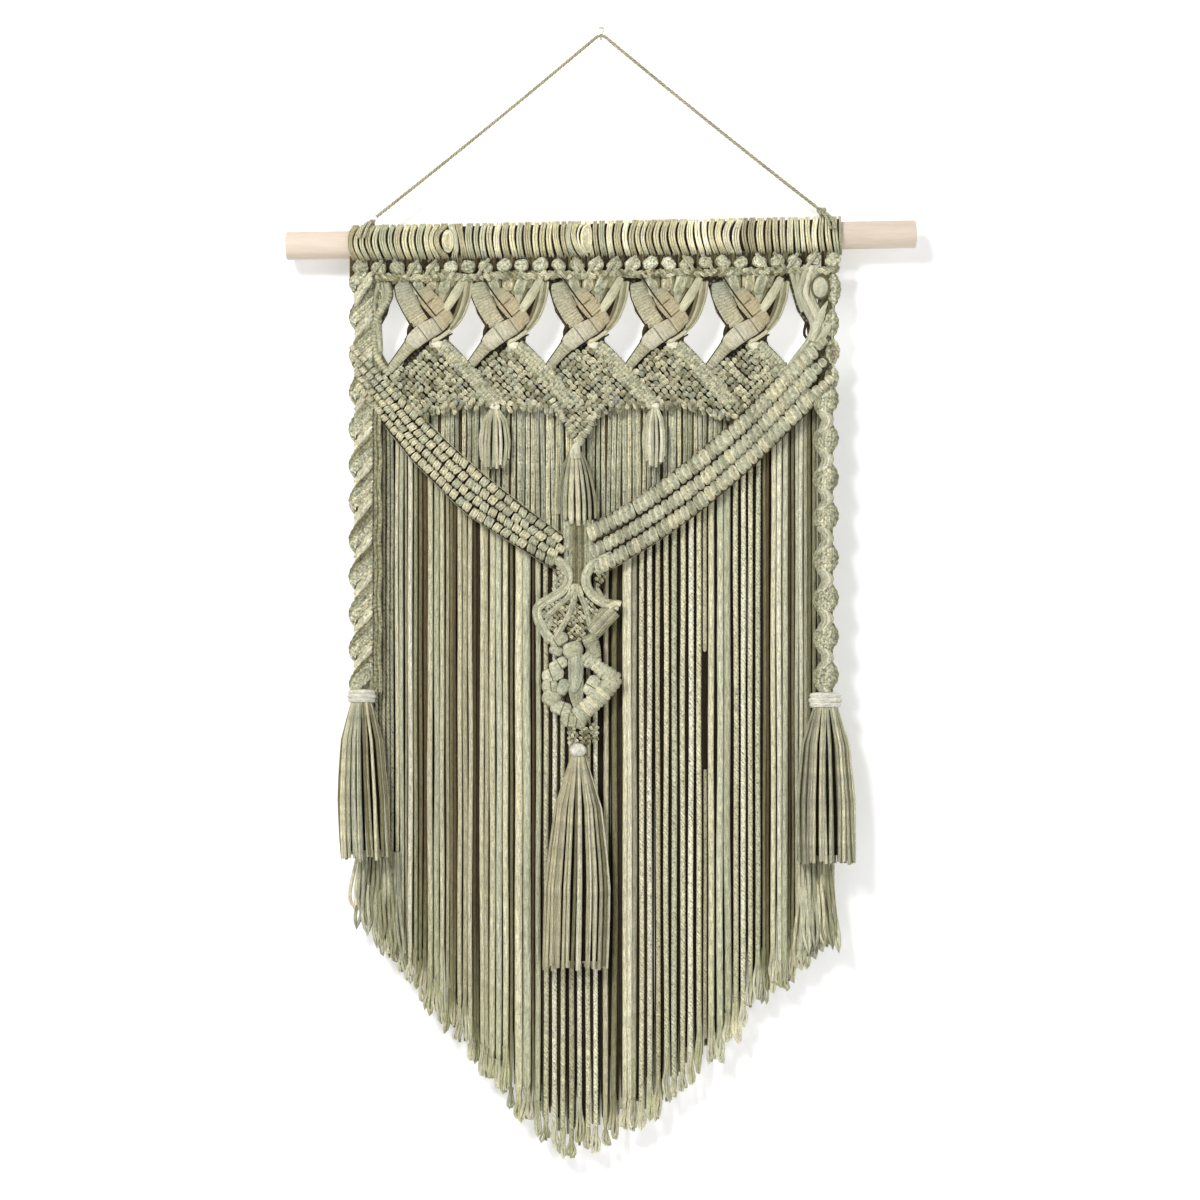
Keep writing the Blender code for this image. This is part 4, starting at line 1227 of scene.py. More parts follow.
# Strands in bark and shade among these groups are painted shade in the gaps between the cords.
# The strands behind the bands, group by group: first and last column, pitch, half width, whether
# they are twisted, how far back they hang in millimetres, shades.
GROUPS = (
    (360, 372, 4.6, 2.0, 0, 0.3, ("stone", "olive", "sage")),
    (374, 394, 4.1, 1.9, 1, -2.6, ("pale_sage", "moss", "sand", "stone", "sage")),
    (394, 404, 4.8, 2.2, 0, -0.3, ("cream", "pale_sage")),
    (404, 407, 3.0, 1.3, 0, 0.4, ("sand",)),
    (407.5, 413, 5.5, 2.6, 0, -0.6, ("ivory",)),
    (413, 427, 4.8, 1.9, 0, 0.6, ("moss", "olive", "bark")),
    (427, 445, 5.9, 2.6, 0, -0.3, ("cream", "sage", "cream")),
    (445, 457, 4.1, 1.7, 0, 0.7, ("sand", "olive", "bark")),
    (457, 473, 5.4, 2.4, 0, -0.3, ("cream", "sand", "cream")),
    (473, 480, 3.5, 1.7, 0, 0.9, ("bark", "shade")),
    (480, 488.5, 4.3, 2.3, 0, 0.0, ("cream", "sand")),
    (489, 509, 6.6, 3.0, 0, 0.0, ("cream", "pale_sage", "cream")),
    (509, 514, 5.0, 1.6, 0, 0.7, ("olive",)),
    (514, 531, 8.4, 4.0, 0, -0.2, ("cream", "pale_sage")),
    (531, 535, 4.0, 1.4, 0, 0.8, ("bark",)),
    (535, 541, 5.5, 2.8, 0, 0.0, ("sage",)),
    (542, 600, 8.6, 2.7, 1, 0.2, ("cream", "ivory", "cream", "sand", "ivory")),
    (601, 619, 7.6, 2.7, 0, 0.6, ("sand", "olive", "sand")),
    (622, 637, 5.0, 2.6, 0, -1.2, ("cream", "ivory", "stone")),
    (637.6, 695.4, 8.2, 2.8, 1, -0.2, ("cream", "ivory", "sand", "cream", "pale_sage", "cream", "ivory")),
    (695.4, 703.2, 7.8, 2.7, 1, 0.1, ("cream",)),
    (707.6, 732, 8.1, 3.2, 0, 0.0, ("cream", "pale_sage", "sage")),
    (732, 762, 7.5, 2.7, 1, 0.0, ("cream", "ivory", "cream", "pale_sage")),
    (762.5, 770, 3.8, 1.6, 0, 0.8, ("olive", "bark")),
    (771, 788, 5.6, 2.7, 0, -0.6, ("cream", "ivory", "pale_sage")),
    (788, 795, 3.6, 1.5, 0, 0.7, ("bark", "olive")),
    (795, 808, 4.4, 2.0, 0, 0.0, ("pale_sage", "ivory", "sage")),
    (808, 831, 5.0, 2.2, 0, 0.4, ("olive", "moss", "sage")),
)

# Where the strands end, down to the point of the V.
HEM = (
    (353, 914), (361, 917), (399, 966), (416, 990), (440, 1018), (454, 1028), (466, 1050), (498, 1092),
    (527, 1120), (559, 1146), (577, 1157), (601, 1148), (634, 1127), (662, 1117), (689, 1081), (731, 1044),
    (761, 1001), (790, 981), (818, 950), (840, 940),
)

# A loosened yarn's loop: share of its half width, share of its length below the strand's end.
YARN_LOOP = (
    (-0.5, -0.40), (-0.7, 0.0), (-1.0, 0.4), (-1.0, 0.75), (-0.6, 0.96), (0.0, 1.0), (0.6, 0.96), (1.0, 0.76),
    (0.9, 0.4), (0.6, 0.0), (0.4, -0.36),
)


def strand_top(column):
    """A row behind the lower part of the bands."""
    if column < 575:
        return between(LEFT_LOWER, column) - 14
    return between(RIGHT_ROPES[2], column) - 4


def fray(skein, rng, end, tint, loose, length, spread):
    """The loosened end of a strand: its yarns bend back on themselves in long narrow loops."""
    # A dark heart inside the loops: painted shade.
    heart = [end + UP * (d * STEP) for d in (6.0, 0.0, -0.45 * length, -0.85 * length)]
    widths = [STEP * spread * share for share in (0.3, 0.4, 0.6, 0.3)]
    skein.cord(heart, widths, lit(loose, 0.42), flat=0.35, sides=6)
    for way in (-1, 1):
        reach = length * rng.uniform(0.72, 1.06)
        half = spread * rng.uniform(0.34, 0.52)
        lean, wave = rng.gauss(0.0, 1.8), rng.uniform(0, 6.3)
        places = []
        for out, down in YARN_LOOP:
            low = max(0.0, down)
            open_by = min(1.0, 0.45 + 0.9 * low)
            shift = way * spread * (0.52 * open_by - 0.16 * low) + out * half * open_by
            shift += lean * low**2 + 0.9 * math.sin(wave + 4.5 * down) * open_by
            lift = 0.0006 if out > 0 else -0.0006
            places.append(end + Vector((shift * STEP, lift - 0.0008, -down * reach * STEP)))
        light = rng.uniform(0.90, 1.30)
        line = smooth(places, 4.0 * STEP)
        tints = []
        for place in line:
            share = min(1.0, max(0.0, (end.z - place.z) / (0.5 * reach * STEP) + 0.2))
            tints.append(lit(mixed(tint, loose, share), 1 + (light - 1) * share))
        skein.cord(line, spread * rng.uniform(0.29, 0.38) * STEP, tints, sides=6)


def hang_curtain():
    """The strands behind the bands, their loosened ends, and two plain layers behind them: a dark one that is
    painted shade, and a paler one at the rear.
    """
    rng = random.Random(17)
    smooth_cords, ropes, tufts, behind, rear = (Skein() for layer in range(5))
    for left, right, pitch, half, twisted, back, names in GROUPS:
        count = max(1, round((right - left) / pitch))
        for i in range(count):
            column = left + (right - left) * (i + 0.5) / count + rng.uniform(-0.5, 0.5)
            tint = shade(names[i % len(names)], rng.uniform(0.88, 1.12) * (0.95 if column < 535 else 1.0))
            depth = -0.0012 + back * 0.001 + rng.uniform(-0.0005, 0.0005)
            length = rng.choice((16, 22, 30, 38)) + rng.uniform(-5, 5)
            foot = between(HEM, column) - length + rng.uniform(-4, 10)
            top = strand_top(column)
            wide = half * rng.uniform(0.90, 1.06)
            if twisted:
                end = hang(ropes, rng, column, top, foot, depth, wide, tint, step=2.2, sides=7, flat=0.95,
                           twist=ROPE_TWIST, sway=0.5, end=0.5, green=GREENING)
            else:
                end = hang(smooth_cords, rng, column, top, foot, depth, wide, tint, end=0.4, green=GREENING)
            loose = mixed(tint, shade(rng.choice(("pale_sage", "cream", "fern")), 1.12), 0.65)
            fray(tufts, rng, end, mixed(tint, shade("fern"), GREENING), loose, length,
                 rng.uniform(0.95, 1.25) * (1.9 + 0.7 * wide))
    column = 363.0
    while column < 829:
        top = strand_top(column)
        foot = between(HEM, column) - rng.uniform(20, 42)
        # The dark layer is painted shade between the cords; at its ends it is paler.
        names = ("deep_shade", "deep_shade", "shade") if 368 < column < 824 else ("moss", "sage")
        hang(behind, rng, column, top, foot, 0.0022, 2.7, pick(rng, names, 0.2), sides=6, step=60, end=0.3)
        foot = between(HEM, column) - rng.uniform(10, 30)
        tint = pick(rng, ("sage", "cream", "pale_sage"), 0.2)
        hang(rear, rng, column, top, foot, 0.0060, 2.5, tint, sides=6, step=40)
        column += 4.9
    # The short cord that ends above a gap, and the one that fills the gap lower down.
    hang(ropes, rng, SHORT_COLUMN, strand_top(SHORT_COLUMN), 652, -0.0012, 2.2, shade("sand"),
         step=2.2, sides=7, twist=ROPE_TWIST, end=0.3)
    hang(ropes, rng, SHORT_COLUMN, 770, 1040, 0.0004, 2.0, shade("sand", 0.9),
         step=2.2, sides=7, twist=ROPE_TWIST)
    smooth_cords.piece("curtain_cords", COMBED, "sage", "curtain")
    ropes.piece("curtain_ropes", ROPED, "sage", "curtain")
    behind.piece("curtain_behind", COMBED, "sage", "curtain")
    rear.piece("curtain_rear", COMBED, "sage", "curtain")
    loose_locks(tufts, rng, 354, 403, 852, 916, 962, ("sage", "moss", "pale_sage", "cream", "sage"))
    loose_locks(tufts, rng, 796, 836, 856, 942, 968, ("sage", "cream", "pale_sage", "moss", "cream"))
    tufts.piece("combed_ends", COMBED, "sage", "curtain")


def loose_locks(skein, rng, left, right, start, high, low, names):
    """Wavy yarns below a side tassel, each doubled back on itself at its foot: high is the foot
    row on the outer side and low the one towards the middle."""
    for i in range(13):
        column = left + 4 + (right - left - 8) * (i * 5 % 13) / 12
        edge = (column - left) / (right - left)
        foot = high + (low - high) * (edge if left < 600 else 1 - edge) + rng.uniform(-14, 10)
        phase, swing, bends = rng.uniform(0, 6.3), rng.uniform(1.5, 4.0), rng.uniform(3.6, 4.6)
        wide = rng.uniform(2.4, 3.6)
        line, radii = [], []
        for k in range(25):
            u = k / 12 - 1
            t = 1 - abs(u)
            out = wide * max(-1.0, min(1.0, 7 * u)) * (0.5 + 0.5 * t)
            wave = swing * math.sin(phase + t * bends) * (0.3 + 0.7 * t)
            deep = 0.0022 * math.sin(phase + t * 5) + 0.0004 * u
            drift = 6 * t * (edge - 0.3 if left > 600 else edge - 0.7)
            line.append(on_grid(column + wave + out + drift, start + (foot - start) * t, -0.0050 - deep))
            radii.append(STEP * between(((0.0, 1.4), (0.4, 2.0), (1.0, 1.7)), t))
        skein.cord(line, radii, pick(rng, names, 0.20), sides=6)


def hang_inner_strands():
    """Fine grey-green strands that fill the V, over a darker layer that is painted shade."""
    rng = random.Random(23)
    skein = Skein()
    front_names = ("pale_sage", "pale_sage", "cream", "grey_green", "sage")
    for start, depth, names, half in ((422.0, -0.0018, front_names, 2.1),
                                      (425.0, 0.0016, ("bark", "olive"), 3.1)):
        column = start
        while column < 748:
            upper = between(ZIGZAG_HEM, column) - 7
            lower = (between(LEFT_UPPER, column) if column < 572 else between(RIGHT_ROPES[0], column)) + 4
            if lower - upper > 8:
                hang(skein, rng, column, upper, lower, depth + rng.uniform(-0.0006, 0.0006),
                     half * rng.uniform(0.85, 1.15), pick(rng, names, 0.16), sides=7, step=9, sway=1.3)
            column += 5.0 + rng.uniform(-0.5, 0.5)
    skein.piece("inner_strands_dressed", SPECKLED, "grey_green", "inner_strands")


# Sinnets.

# The row where the sinnets end, and the rows of the right one's lobes.
SINNET_FOOT = 692
LOBES = (402, 441, 480, 518, 560, 600, 638, 677)


def knotty(line, half, step, beat, phase=0.0, taper=0.55):
    """Half widths along a yarn that swells and narrows knot by knot and thins at both ends."""
    last = len(line) - 1
    return [
        half * (0.66 + 0.42 * abs(math.sin(math.pi * i * step / beat + phase)))
        * (taper + (1 - taper) * math.sqrt(max(0.0, math.sin(math.pi * i / last))))
        for i in range(last + 1)
    ]


def lobe(column, row, tall, out, slant, depth, swell, count):
    """A yarn of a lobe, which bows out sideways and to the front between its two tips."""
    route = []
    for k in range(count):
        s = 2 * k / (count - 1) - 1
        bow = math.cos(s * math.pi / 2)
        low = min(row + tall * s, SINNET_FOOT)
        route.append(on_grid(column + out * bow + slant * s, low, depth - swell * bow))
    return route


def plait_left_sinnet():
    """A half-knot spiral: each half turn swings out to the left and tucks in at a tip."""
    rng = random.Random(71)
    skein, shine = Skein(), Skein()
    core = [on_grid(365, row, -0.0105) for row in (278, 480, SINNET_FOOT)]
    skein.cord(core, 9.0 * STEP, shade("sage", 0.8), flat=0.5, sides=10)
    for column, half, light in ((371.5, 2.6, 1.1), (376, 2.3, 0.95), (380.3, 2.2, 1.1)):
        line = [on_grid(column + 0.7 * math.sin(k * 0.9), 276 + k * 8, -0.0090 if k < 16 else -0.0132)
                for k in range(53)]
        skein.cord(line, half * STEP, shade("moss", light), sides=7)
    for turn in range(12):
        top = 402 + 36.7 * (turn - 4) + rng.uniform(-1.5, 1.5)
        inward = 0.0040 if 300 < top + 15 < 400 else 0.0
        for j in range(8):
            t = j / 7
            places = (
                (374 - t, top - 6 + 21 * t, -0.0142), (367, top + 2 + 21 * t, -0.0172),
                (359, top + 11 + 19 * t, -0.0186), (352.0 + 1.2 * t, top + 23 + 10 * t, -0.0172),
                (352.2 + 1.6 * t, top + 32 + 3 * t, -0.0148), (357, top + 40, -0.0118),
            )
            route = [on_grid(c, r, d + inward - 0.0014 * math.sin(math.pi * t)) for c, r, d in places
                     if 272 < r < SINNET_FOOT]
            if len(route) < 3:
                continue
            # Each turn's first strands are darker and its last paler: painted shade on the top inner part of
            # the turn.
            names = ("olive", "moss") if j < 2 else ("moss", "sage") if j < 4 else ("pale_sage", "cream")
            tint = pick(rng, names, 0.14)
            line = smooth(route, 1.3 * STEP)
            radii = knotty(line, 2.05 * STEP, 1.3, rng.uniform(5, 7), rng.uniform(0, 3))
            skein.cord(line, radii, tint, sides=6)
        for shift, half, name in ((0.0, 3.4, "cream"), (4.8, 3.2, "ivory"), (8.6, 2.4, "pale_sage")):
            rows = ((373, 19), (367, 26), (361, 36), (355.5, 45))
            route = [on_grid(c, top + r + shift, -0.0166 + inward) for c, r in rows
                     if 272 < top + r + shift < SINNET_FOOT]
            if len(route) > 2:
                line = smooth(route, 1.6 * STEP)
                halves = knotty(line, half * STEP, 1.6, 9.0, rng.uniform(0, 3), 0.4)
                shine.cord(line, halves, shade(name, rng.uniform(0.86, 1.0)), sides=7)
    skein.piece("sinnet_left_turns", KNOBBLY, "sage", "sinnet_left")
    shine.piece("sinnet_left_cords", SOFT, "sage", "sinnet_left")


def plait_right_sinnet():
    """A half-knot spiral seen from its other side: a smooth cord that winds past knotted lobes."""
    rng = random.Random(72)
    skein, shine = Skein(), Skein()
    # A dark core: painted shade behind the lobes.
    core = [on_grid(825, row, -0.0098) for row in (272, 480, 694)]
    skein.cord(core, 7.5 * STEP, shade("olive", 0.6), flat=0.5, sides=10)
    for middle in LOBES:
        # Each lobe is pale in its middle and darker at its edges: painted shading of its round form.
        for j, name in enumerate(("moss", "sage", "pale_sage", "cream", "pale_sage", "sage", "moss")):
            t = j / 6 - 0.5
            route = lobe(825.5, middle, 18, 20 * t, -3.0, -0.0130, 0.0050 * (1 - 1.6 * t**2), 25)
            tint = pick(rng, (name,), 0.16)
            radii = knotty(route, 2.5 * STEP, 1.5, rng.uniform(5, 7), rng.uniform(0, 3), 0.35)
            skein.cord(route, radii, tint, sides=6)
    for strand, name in ((-1.5, "sage"), (-0.5, "pale_sage"), (0.5, "ivory"), (1.5, "pale_sage")):
        line = []
        for k in range(200):
            row = 394 + (SINNET_FOOT - 394) * k / 199
            nearest = min(max(row, LOBES[0]), LOBES[-1])
            passed = between([(r, i) for i, r in enumerate(LOBES)], row)
            turn = 2 * math.pi * (passed + (row - nearest) / 39.4)
            column = 821.2 - 5.2 * math.cos(turn) + strand * 2.5 * (0.85 - 0.3 * math.cos(turn))
            line.append(on_grid(column, row, -0.0162 + 0.0024 * math.cos(turn) + 0.0005 * strand * strand))
        radii = knotty(line, 2.3 * STEP, 1.5, 8.0, strand, 1.0)
        shine.cord(line, radii, shade(name, rng.uniform(0.88, 0.98)), sides=7)
    # The closer knots beside the bead, above the first turn of the smooth cord.
    for column, row, tall in ((833, 290, 17), (831, 324, 15), (832, 352, 13), (831, 378, 13)):
        for t in (0.0, 0.33, 0.67, 1.0):
            route = lobe(column, row, tall, (t - 0.5) * 10, 0.0, -0.0098, 0.0030, 19)
            halves = knotty(route, 2.6 * STEP, tall / 9, 6.0, rng.uniform(0, 3))
            skein.cord(route, halves, pick(rng, ("sage", "moss", "pale_sage"), 0.14), sides=6)
    skein.piece("sinnet_right_turns", KNOBBLY, "sage", "sinnet_right")
    shine.piece("sinnet_right_cords", SOFT, "sage", "sinnet_right")


# Tassels: piece, node, head, column, top row, depth, share of its width that it is deep,
# (head half width, head height), (foot row, foot half width, lean, strands), skirt shades,
# head shades, seed.
TASSELS = (
    ("side_tassel_left", "tassel_side_left", "collar", 362.5, 690, -0.0145, 0.50, (13.5, 12),
     (857, 25, 4, 40), ("grey_green", "pale_sage", "sage", "olive", "cream", "moss"), ("chalk",), 31),
    ("side_tassel_right", "tassel_side_right", "collar", 824.5, 693, -0.0145, 0.46, (15.5, 14),
     (862, 29.5, 1, 46), ("stone", "cream", "sage", "olive", "cream", "moss"), ("chalk",), 32),
    ("centre_tassel", "tassel_centre", "oval", 578, 743, -0.0135, 0.42, (9.5, 13), (967, 33, -3, 44),
     ("sand", "stone", "ivory", "olive", "cream", "sand"), ("chalk",), 33),
    ("small_tassel_left", "tassel_small_left", "knot", 495, 404, -0.0100, 0.42, (5.5, 6), (468, 16.5, 0, 20),
     ("ivory", "cream", "cream", "sage"), ("cream", "ivory"), 35),
    ("small_tassel_right", "tassel_small_right", "knot", 654.5, 403, -0.0100, 0.48, (5.0, 6),
     (467, 12.5, 0, 16), ("ivory", "cream", "pale_sage", "sage"), ("cream", "ivory"), 36),
)

# The locks of the upper tassel: columns at its tie, its shoulder and its foot, foot row, half width, shade.
UPPER_LOCKS = (
    (570, 562, 559, 514, 2.2, "moss"), (571, 567, 565, 520, 2.6, "sage"), (573, 572, 571, 524, 3.0, "cream"),
    (576, 577, 578, 526, 2.6, "cream"), (578, 581.5, 584, 525, 2.0, "pale_sage"),
    (580, 586, 589.5, 523, 1.8, "stone"), (582, 590, 595, 519, 1.7, "moss"),
)


def tassel_head(skein, rng, kind, column, top, depth, deep, half, tall, names):
    """A round knot, an oval bead of turns, or a wrapped collar over a plug."""
    if kind == "knot":
        ends = [on_grid(column + way * half * 0.45, top + tall * 0.5, depth - 0.0010) for way in (-1, 1)]
        capsule(skein, *ends, tall * 0.52 * STEP, pick(rng, names, 0.03), flat=0.9, sides=14, rings=10)
    if kind == "oval":
        oval(skein, on_grid(column, top + tall * 0.5, depth - 0.0012), 8.5, 6.8, 7.5, shade("chalk", 0.88))
    if kind == "collar":
        turns = max(2, round(tall / 4.2))
        for i in range(turns):
            row = top + tall * (i + 0.5) / turns
            bulge = half * (1.0 - 0.10 * abs(2 * (i + 0.5) / turns - 1)) - 1.4
            ring = []
            for a in round_turn(20):
                place = on_grid(column + math.cos(a) * bulge, row + 0.8 * math.sin(a))
                place.y = depth + math.sin(a) * bulge * STEP * deep
                ring.append(place)
            thick = tall / turns * 0.62 * STEP
            skein.cord(ring, thick, pick(rng, names, 0.04), sides=7, depth_axis=UP, closed=True)
        plug = [on_grid(column, top + d, depth) for d in (-1.0, 1.0, tall * 0.5, tall + 2)]
        widths = [half * share * STEP for share in (0.45, 0.8, 0.86, 0.8)]
        skein.cord(plug, widths, pick(rng, names, 0.03), flat=deep, sides=14)


def tassel(name, node, head, column, top, depth, deep, head_size, skirt, skirt_names, head_names, seed):
    """A tassel: its head, and a skirt of strands over a dark heart that is painted shade."""
    rng = random.Random(seed)
    skein = Skein()
    half, tall = head_size
    foot, foot_half, lean, count = skirt
    tassel_head(skein, rng, head, column, top, depth, deep, half, tall, head_names)
    full, low = (0.66, 0.90) if head == "knot" else (0.60, 1.0)
    start = top + tall - 1.5
    # The dark heart: painted shade between the strands.
    heart = [on_grid(column + lean * t * t, start + (foot - start - 8) * t, depth)
             for t in (0, 0.3, 0.7, 1.0)]
    widths = [half * 0.5, half * 0.4 + foot_half * 0.45, foot_half * 0.78, foot_half * 0.84]
    skein.cord(heart, [w * STEP for w in widths], shade("deep_shade"), flat=deep * 0.7, sides=12)
    shape = ((0.0, half * 0.80), (0.25, half * 0.4 + foot_half * full), (0.6, foot_half * 0.98),
             (1.0, foot_half * low))
    for i in range(count):
        angle = 2 * math.pi * (i + 0.5) / count + rng.uniform(-0.08, 0.08)
        ring = 1.0 if i % 2 else 0.90
        out, back = math.cos(angle) * ring, math.sin(angle) * ring
        end = foot + rng.uniform(-3.5, 2.0) - (8 * abs(out) ** 3 if head == "knot" else 0)
        tint = pick(rng, skirt_names, 0.16)
        wobble = rng.uniform(-1.4, 1.4)
        line, radii = [], []
        for k in range(9):
            t = k / 8
            spread = between(shape, t) - 1.6
            across = lean * t * t + out * spread + wobble * math.sin(t * 3.1)
            place = on_grid(column + across, start + (end - start) * t)
            place.y = depth + back * spread * STEP * deep
            line.append(place)
            radii.append(STEP * between(((0.0, 1.3), (0.3, 1.55), (0.9, 1.9), (1.0, 1.6)), t))
        skein.cord(line, radii, tint, sides=6)
    skein.piece(name, COMBED, "cream", node)


def make_upper_tassel():
    """A flat tassel of seven locks over a dark heart that is painted shade, tied where the lines of knots
    meet.
    """
    rng = random.Random(34)
    skein = Skein()
    skein.lay(((578, 439), (577, 445), (575, 452), (576, 459)), -0.0118, 2,
              ((0.0, 1.6), (0.5, 5.0), (0.8, 6.2), (1.0, 5.0)), shade("pale_sage", 1.05), flat=0.6, sides=12)
    # The dark heart: painted shade between the locks.
    skein.lay(((577, 452), (579, 480), (580, 520)), -0.0092, 6, ((0.0, 5.0), (0.4, 12.0), (1.0, 15.0)),
              shade("deep_shade"), flat=0.25, sides=10)
    for start, shoulder, foot, low, half, name in UPPER_LOCKS:
        lock = ((start, 452), (shoulder, 474), (foot, 500), (foot + 0.5, low))
        widths = ((0.0, half * 0.55), (0.35, half * 0.9), (0.9, half), (1.0, half * 0.7))
        skein.lay(lock, -0.0122, 4, widths, shade(name, rng.uniform(0.82, 0.92)), flat=0.7, sides=9)
    skein.piece("upper_tassel", COMBED, "grey_green", "tassel_upper")


# The centre piece under the V.

ORNAMENT_DEPTH = -0.0100

# The stem of upright cords, pale at its sides and dark down its middle: column, half width, shade.
STEM = (
    (565.5, 2.8, "pale_sage"), (569.8, 2.3, "sage"), (573.2, 1.9, "moss"), (576.4, 1.9, "olive"),
    (579.6, 1.9, "moss"), (582.8, 1.9, "olive"), (586.6, 2.5, "sage"), (591, 2.8, "pale_sage"),
)

# The row where the cords of the stem end, from column to column.
STEM_FOOT = ((565, 562), (571, 580), (577, 592), (584, 584), (592, 560))

# The dark ground behind the leaves and the loop, which is painted shade: route, half width.
GROUNDS = (
    (((557, 596), (553, 612), (554, 632)), 11.0), (((577, 594), (577, 615), (577, 640)), 9.0),
    (((594, 598), (597, 612), (592, 628)), 9.0), (((572, 656), (573, 680), (575, 706)), 12.0),
    (((575, 722), (582, 734), (583, 744)), 11.0), (((597, 568), (600, 578), (602, 588)), 5.0),
)

# The leaves and gussets that small knots fill: outline, shades.
PATCHES = (
    (((541, 612), (552, 603), (556, 612), (552, 630), (546, 628)), ("cream", "ivory", "pale_sage", "sage")),
    (((552, 604), (573, 594), (571, 610), (563, 624), (553, 636), (549, 626)),
     ("sand", "moss", "sage", "olive", "cream")),
    (((575, 598), (580, 602), (585, 616), (587, 630), (579, 643), (570, 638), (568, 626), (573, 612)),
     ("moss", "sage", "olive", "sand", "cream")),
    (((585, 596), (594, 604), (606, 612), (596, 624), (590, 628)), ("sage", "moss", "cream", "sand")),
    (((594, 570), (602, 566), (606, 576), (602, 588), (596, 584)), ("sage", "moss", "cream", "olive")),
    (((556, 566), (563, 570), (565, 580), (559, 588), (553, 590), (556, 578)), ("sand", "sage", "cream")),
    (((566, 727), (577, 727), (577, 744), (568, 744)), ("sage", "cream", "moss")),
    (((579, 726), (598, 724), (598, 738), (590, 745), (580, 745)), ("moss", "olive", "cream", "sage")),
)

# The curls and the edges of the leaves: route, half width, shades, how far they stand out.
STRAPS = (
    (((549, 558), (558, 561), (567, 570), (568, 581), (563, 590), (553, 597), (543, 603), (537.5, 609),
      (538.5, 620), (545, 632), (552, 641)), 4.6, ("sage", "pale_sage"), 0.0016),
    (((612, 556), (601, 560), (591, 567), (586, 577), (588, 589), (597, 599), (608, 604), (619, 606)), 4.7,
     ("pale_sage", "sage"), 0.0018),
    (((574, 589), (567, 598), (557, 607), (546, 618)), 2.6, ("pale_sage", "sage"), 0.0020),
    (((575, 592), (573, 604), (567, 619), (555, 638)), 2.8, ("pale_sage", "sage"), 0.0022),
    (((577, 589), (583, 601), (587, 614), (590, 627)), 2.6, ("sage", "pale_sage"), 0.0018),
    (((570, 596), (572, 589), (575.5, 586), (579, 589), (581, 596)), 2.8, ("pale_sage", "cream"), 0.0026),
    (((597, 588), (603, 597), (611, 603)), 1.8, ("pale_sage", "sage"), 0.0012),
)

# The wrapped right side of the loop: route, half width, pitch of the turns, shades.
ROLLS = (
    (((586, 656), (594, 663), (603, 671)), 4.8, 4.6, ("pale_sage", "cream", "sage")),
    (((603, 671), (609, 675), (615, 679)), 6.0, 5.0, ("sage", "pale_sage")),
    (((614, 678), (607, 688), (598, 698), (588, 707), (579, 715)), 7.4, 4.8, ("pale_sage", "sage", "cream")),
)

# The knots of the loop: column, row, half length, half width, turn, shade, and where its turns show.
LOOP_KNOTS = (
    (559, 640, 10.5, 6.0, -32, "sage", (-0.9,)), (556, 650.5, 7.5, 4.8, 24, "sage", ()),
    (573, 650, 11.2, 8.6, -16, "sage", ()), (558.5, 664.5, 10.6, 5.8, -30, "pale_sage", (0.2,)),
    (553, 674.5, 12.0, 7.4, -20, "pale_sage", (-0.4,)), (550, 686, 9.0, 7.4, -6, "sage", (0.6,)),
    (551.5, 698, 10.2, 8.2, 28, "sage", ()), (561, 708, 11.8, 7.2, 20, "pale_sage", (0.3,)),
    (573.5, 720, 14.0, 7.8, 8, "sage", (-0.8, 0.5)), (563, 687, 9.2, 6.0, -66, "grey_green", ()),
    (592, 685.5, 11.5, 7.0, -60, "pale_sage", (-0.2,)), (588.5, 661, 7.6, 4.6, -66, "pale_sage", (0.0,)),
)


def strap(skein, rng, places, half, names, depth):
    """Two cords side by side along a route."""
    route = grid_route(places, depth, 2.6)
    for way, name in zip((-1, 1), names):
        line = [place + way_at(route, i).cross(TO_WALL) * (way * half * 0.46 * STEP)
                for i, place in enumerate(route)]
        skein.cord(line, half * 0.62 * STEP, shade(name, rng.uniform(0.96, 1.04)), flat=0.9, sides=9)


def inside(corners, column, row):
    """Whether a grid place lies within an outline."""
    hits = 0
    for (a, b), (c, d) in zip(corners, corners[1:] + corners[:1]):
        if (b > row) != (d > row) and column < a + (c - a) * (row - b) / (d - b):
            hits += 1
    return hits % 2 == 1


def knot_patch(skein, rng, corners, names, depth):
    """Small knots at forty-five degrees that fill an outline."""
    pitch = 3.7
    middle = [sum(values) / len(corners) for values in zip(*corners)]
    for j in range(-14, 15):
        for i in range(-14, 15):
            column = middle[0] + (j + i) * pitch * HALF_ROOT + rng.uniform(-0.6, 0.6)
            row = middle[1] + (j - i) * pitch * HALF_ROOT + rng.uniform(-0.6, 0.6)
            if inside(corners, column, row):
                side = leaning(45 - rng.gauss(0, 22))
                wrap_over(skein, on_grid(column, row, depth), side * (1.7 * STEP), 0.0017, 1.55 * STEP,
                          pick(rng, names, 0.22), arc=78, rings=5)


def turns_on(skein, centre, arm, half, places):
    """The dark lines between the turns of cord on a knot, as painted shade."""
    across = arm.normalized().cross(TO_WALL) * (half * 0.95 * STEP)
    for k in places:
        wrap_over(skein, centre + arm * k, across, half * 0.585 * STEP, 0.55 * STEP,
                  shade("olive", 0.8), sides=5, rings=9)


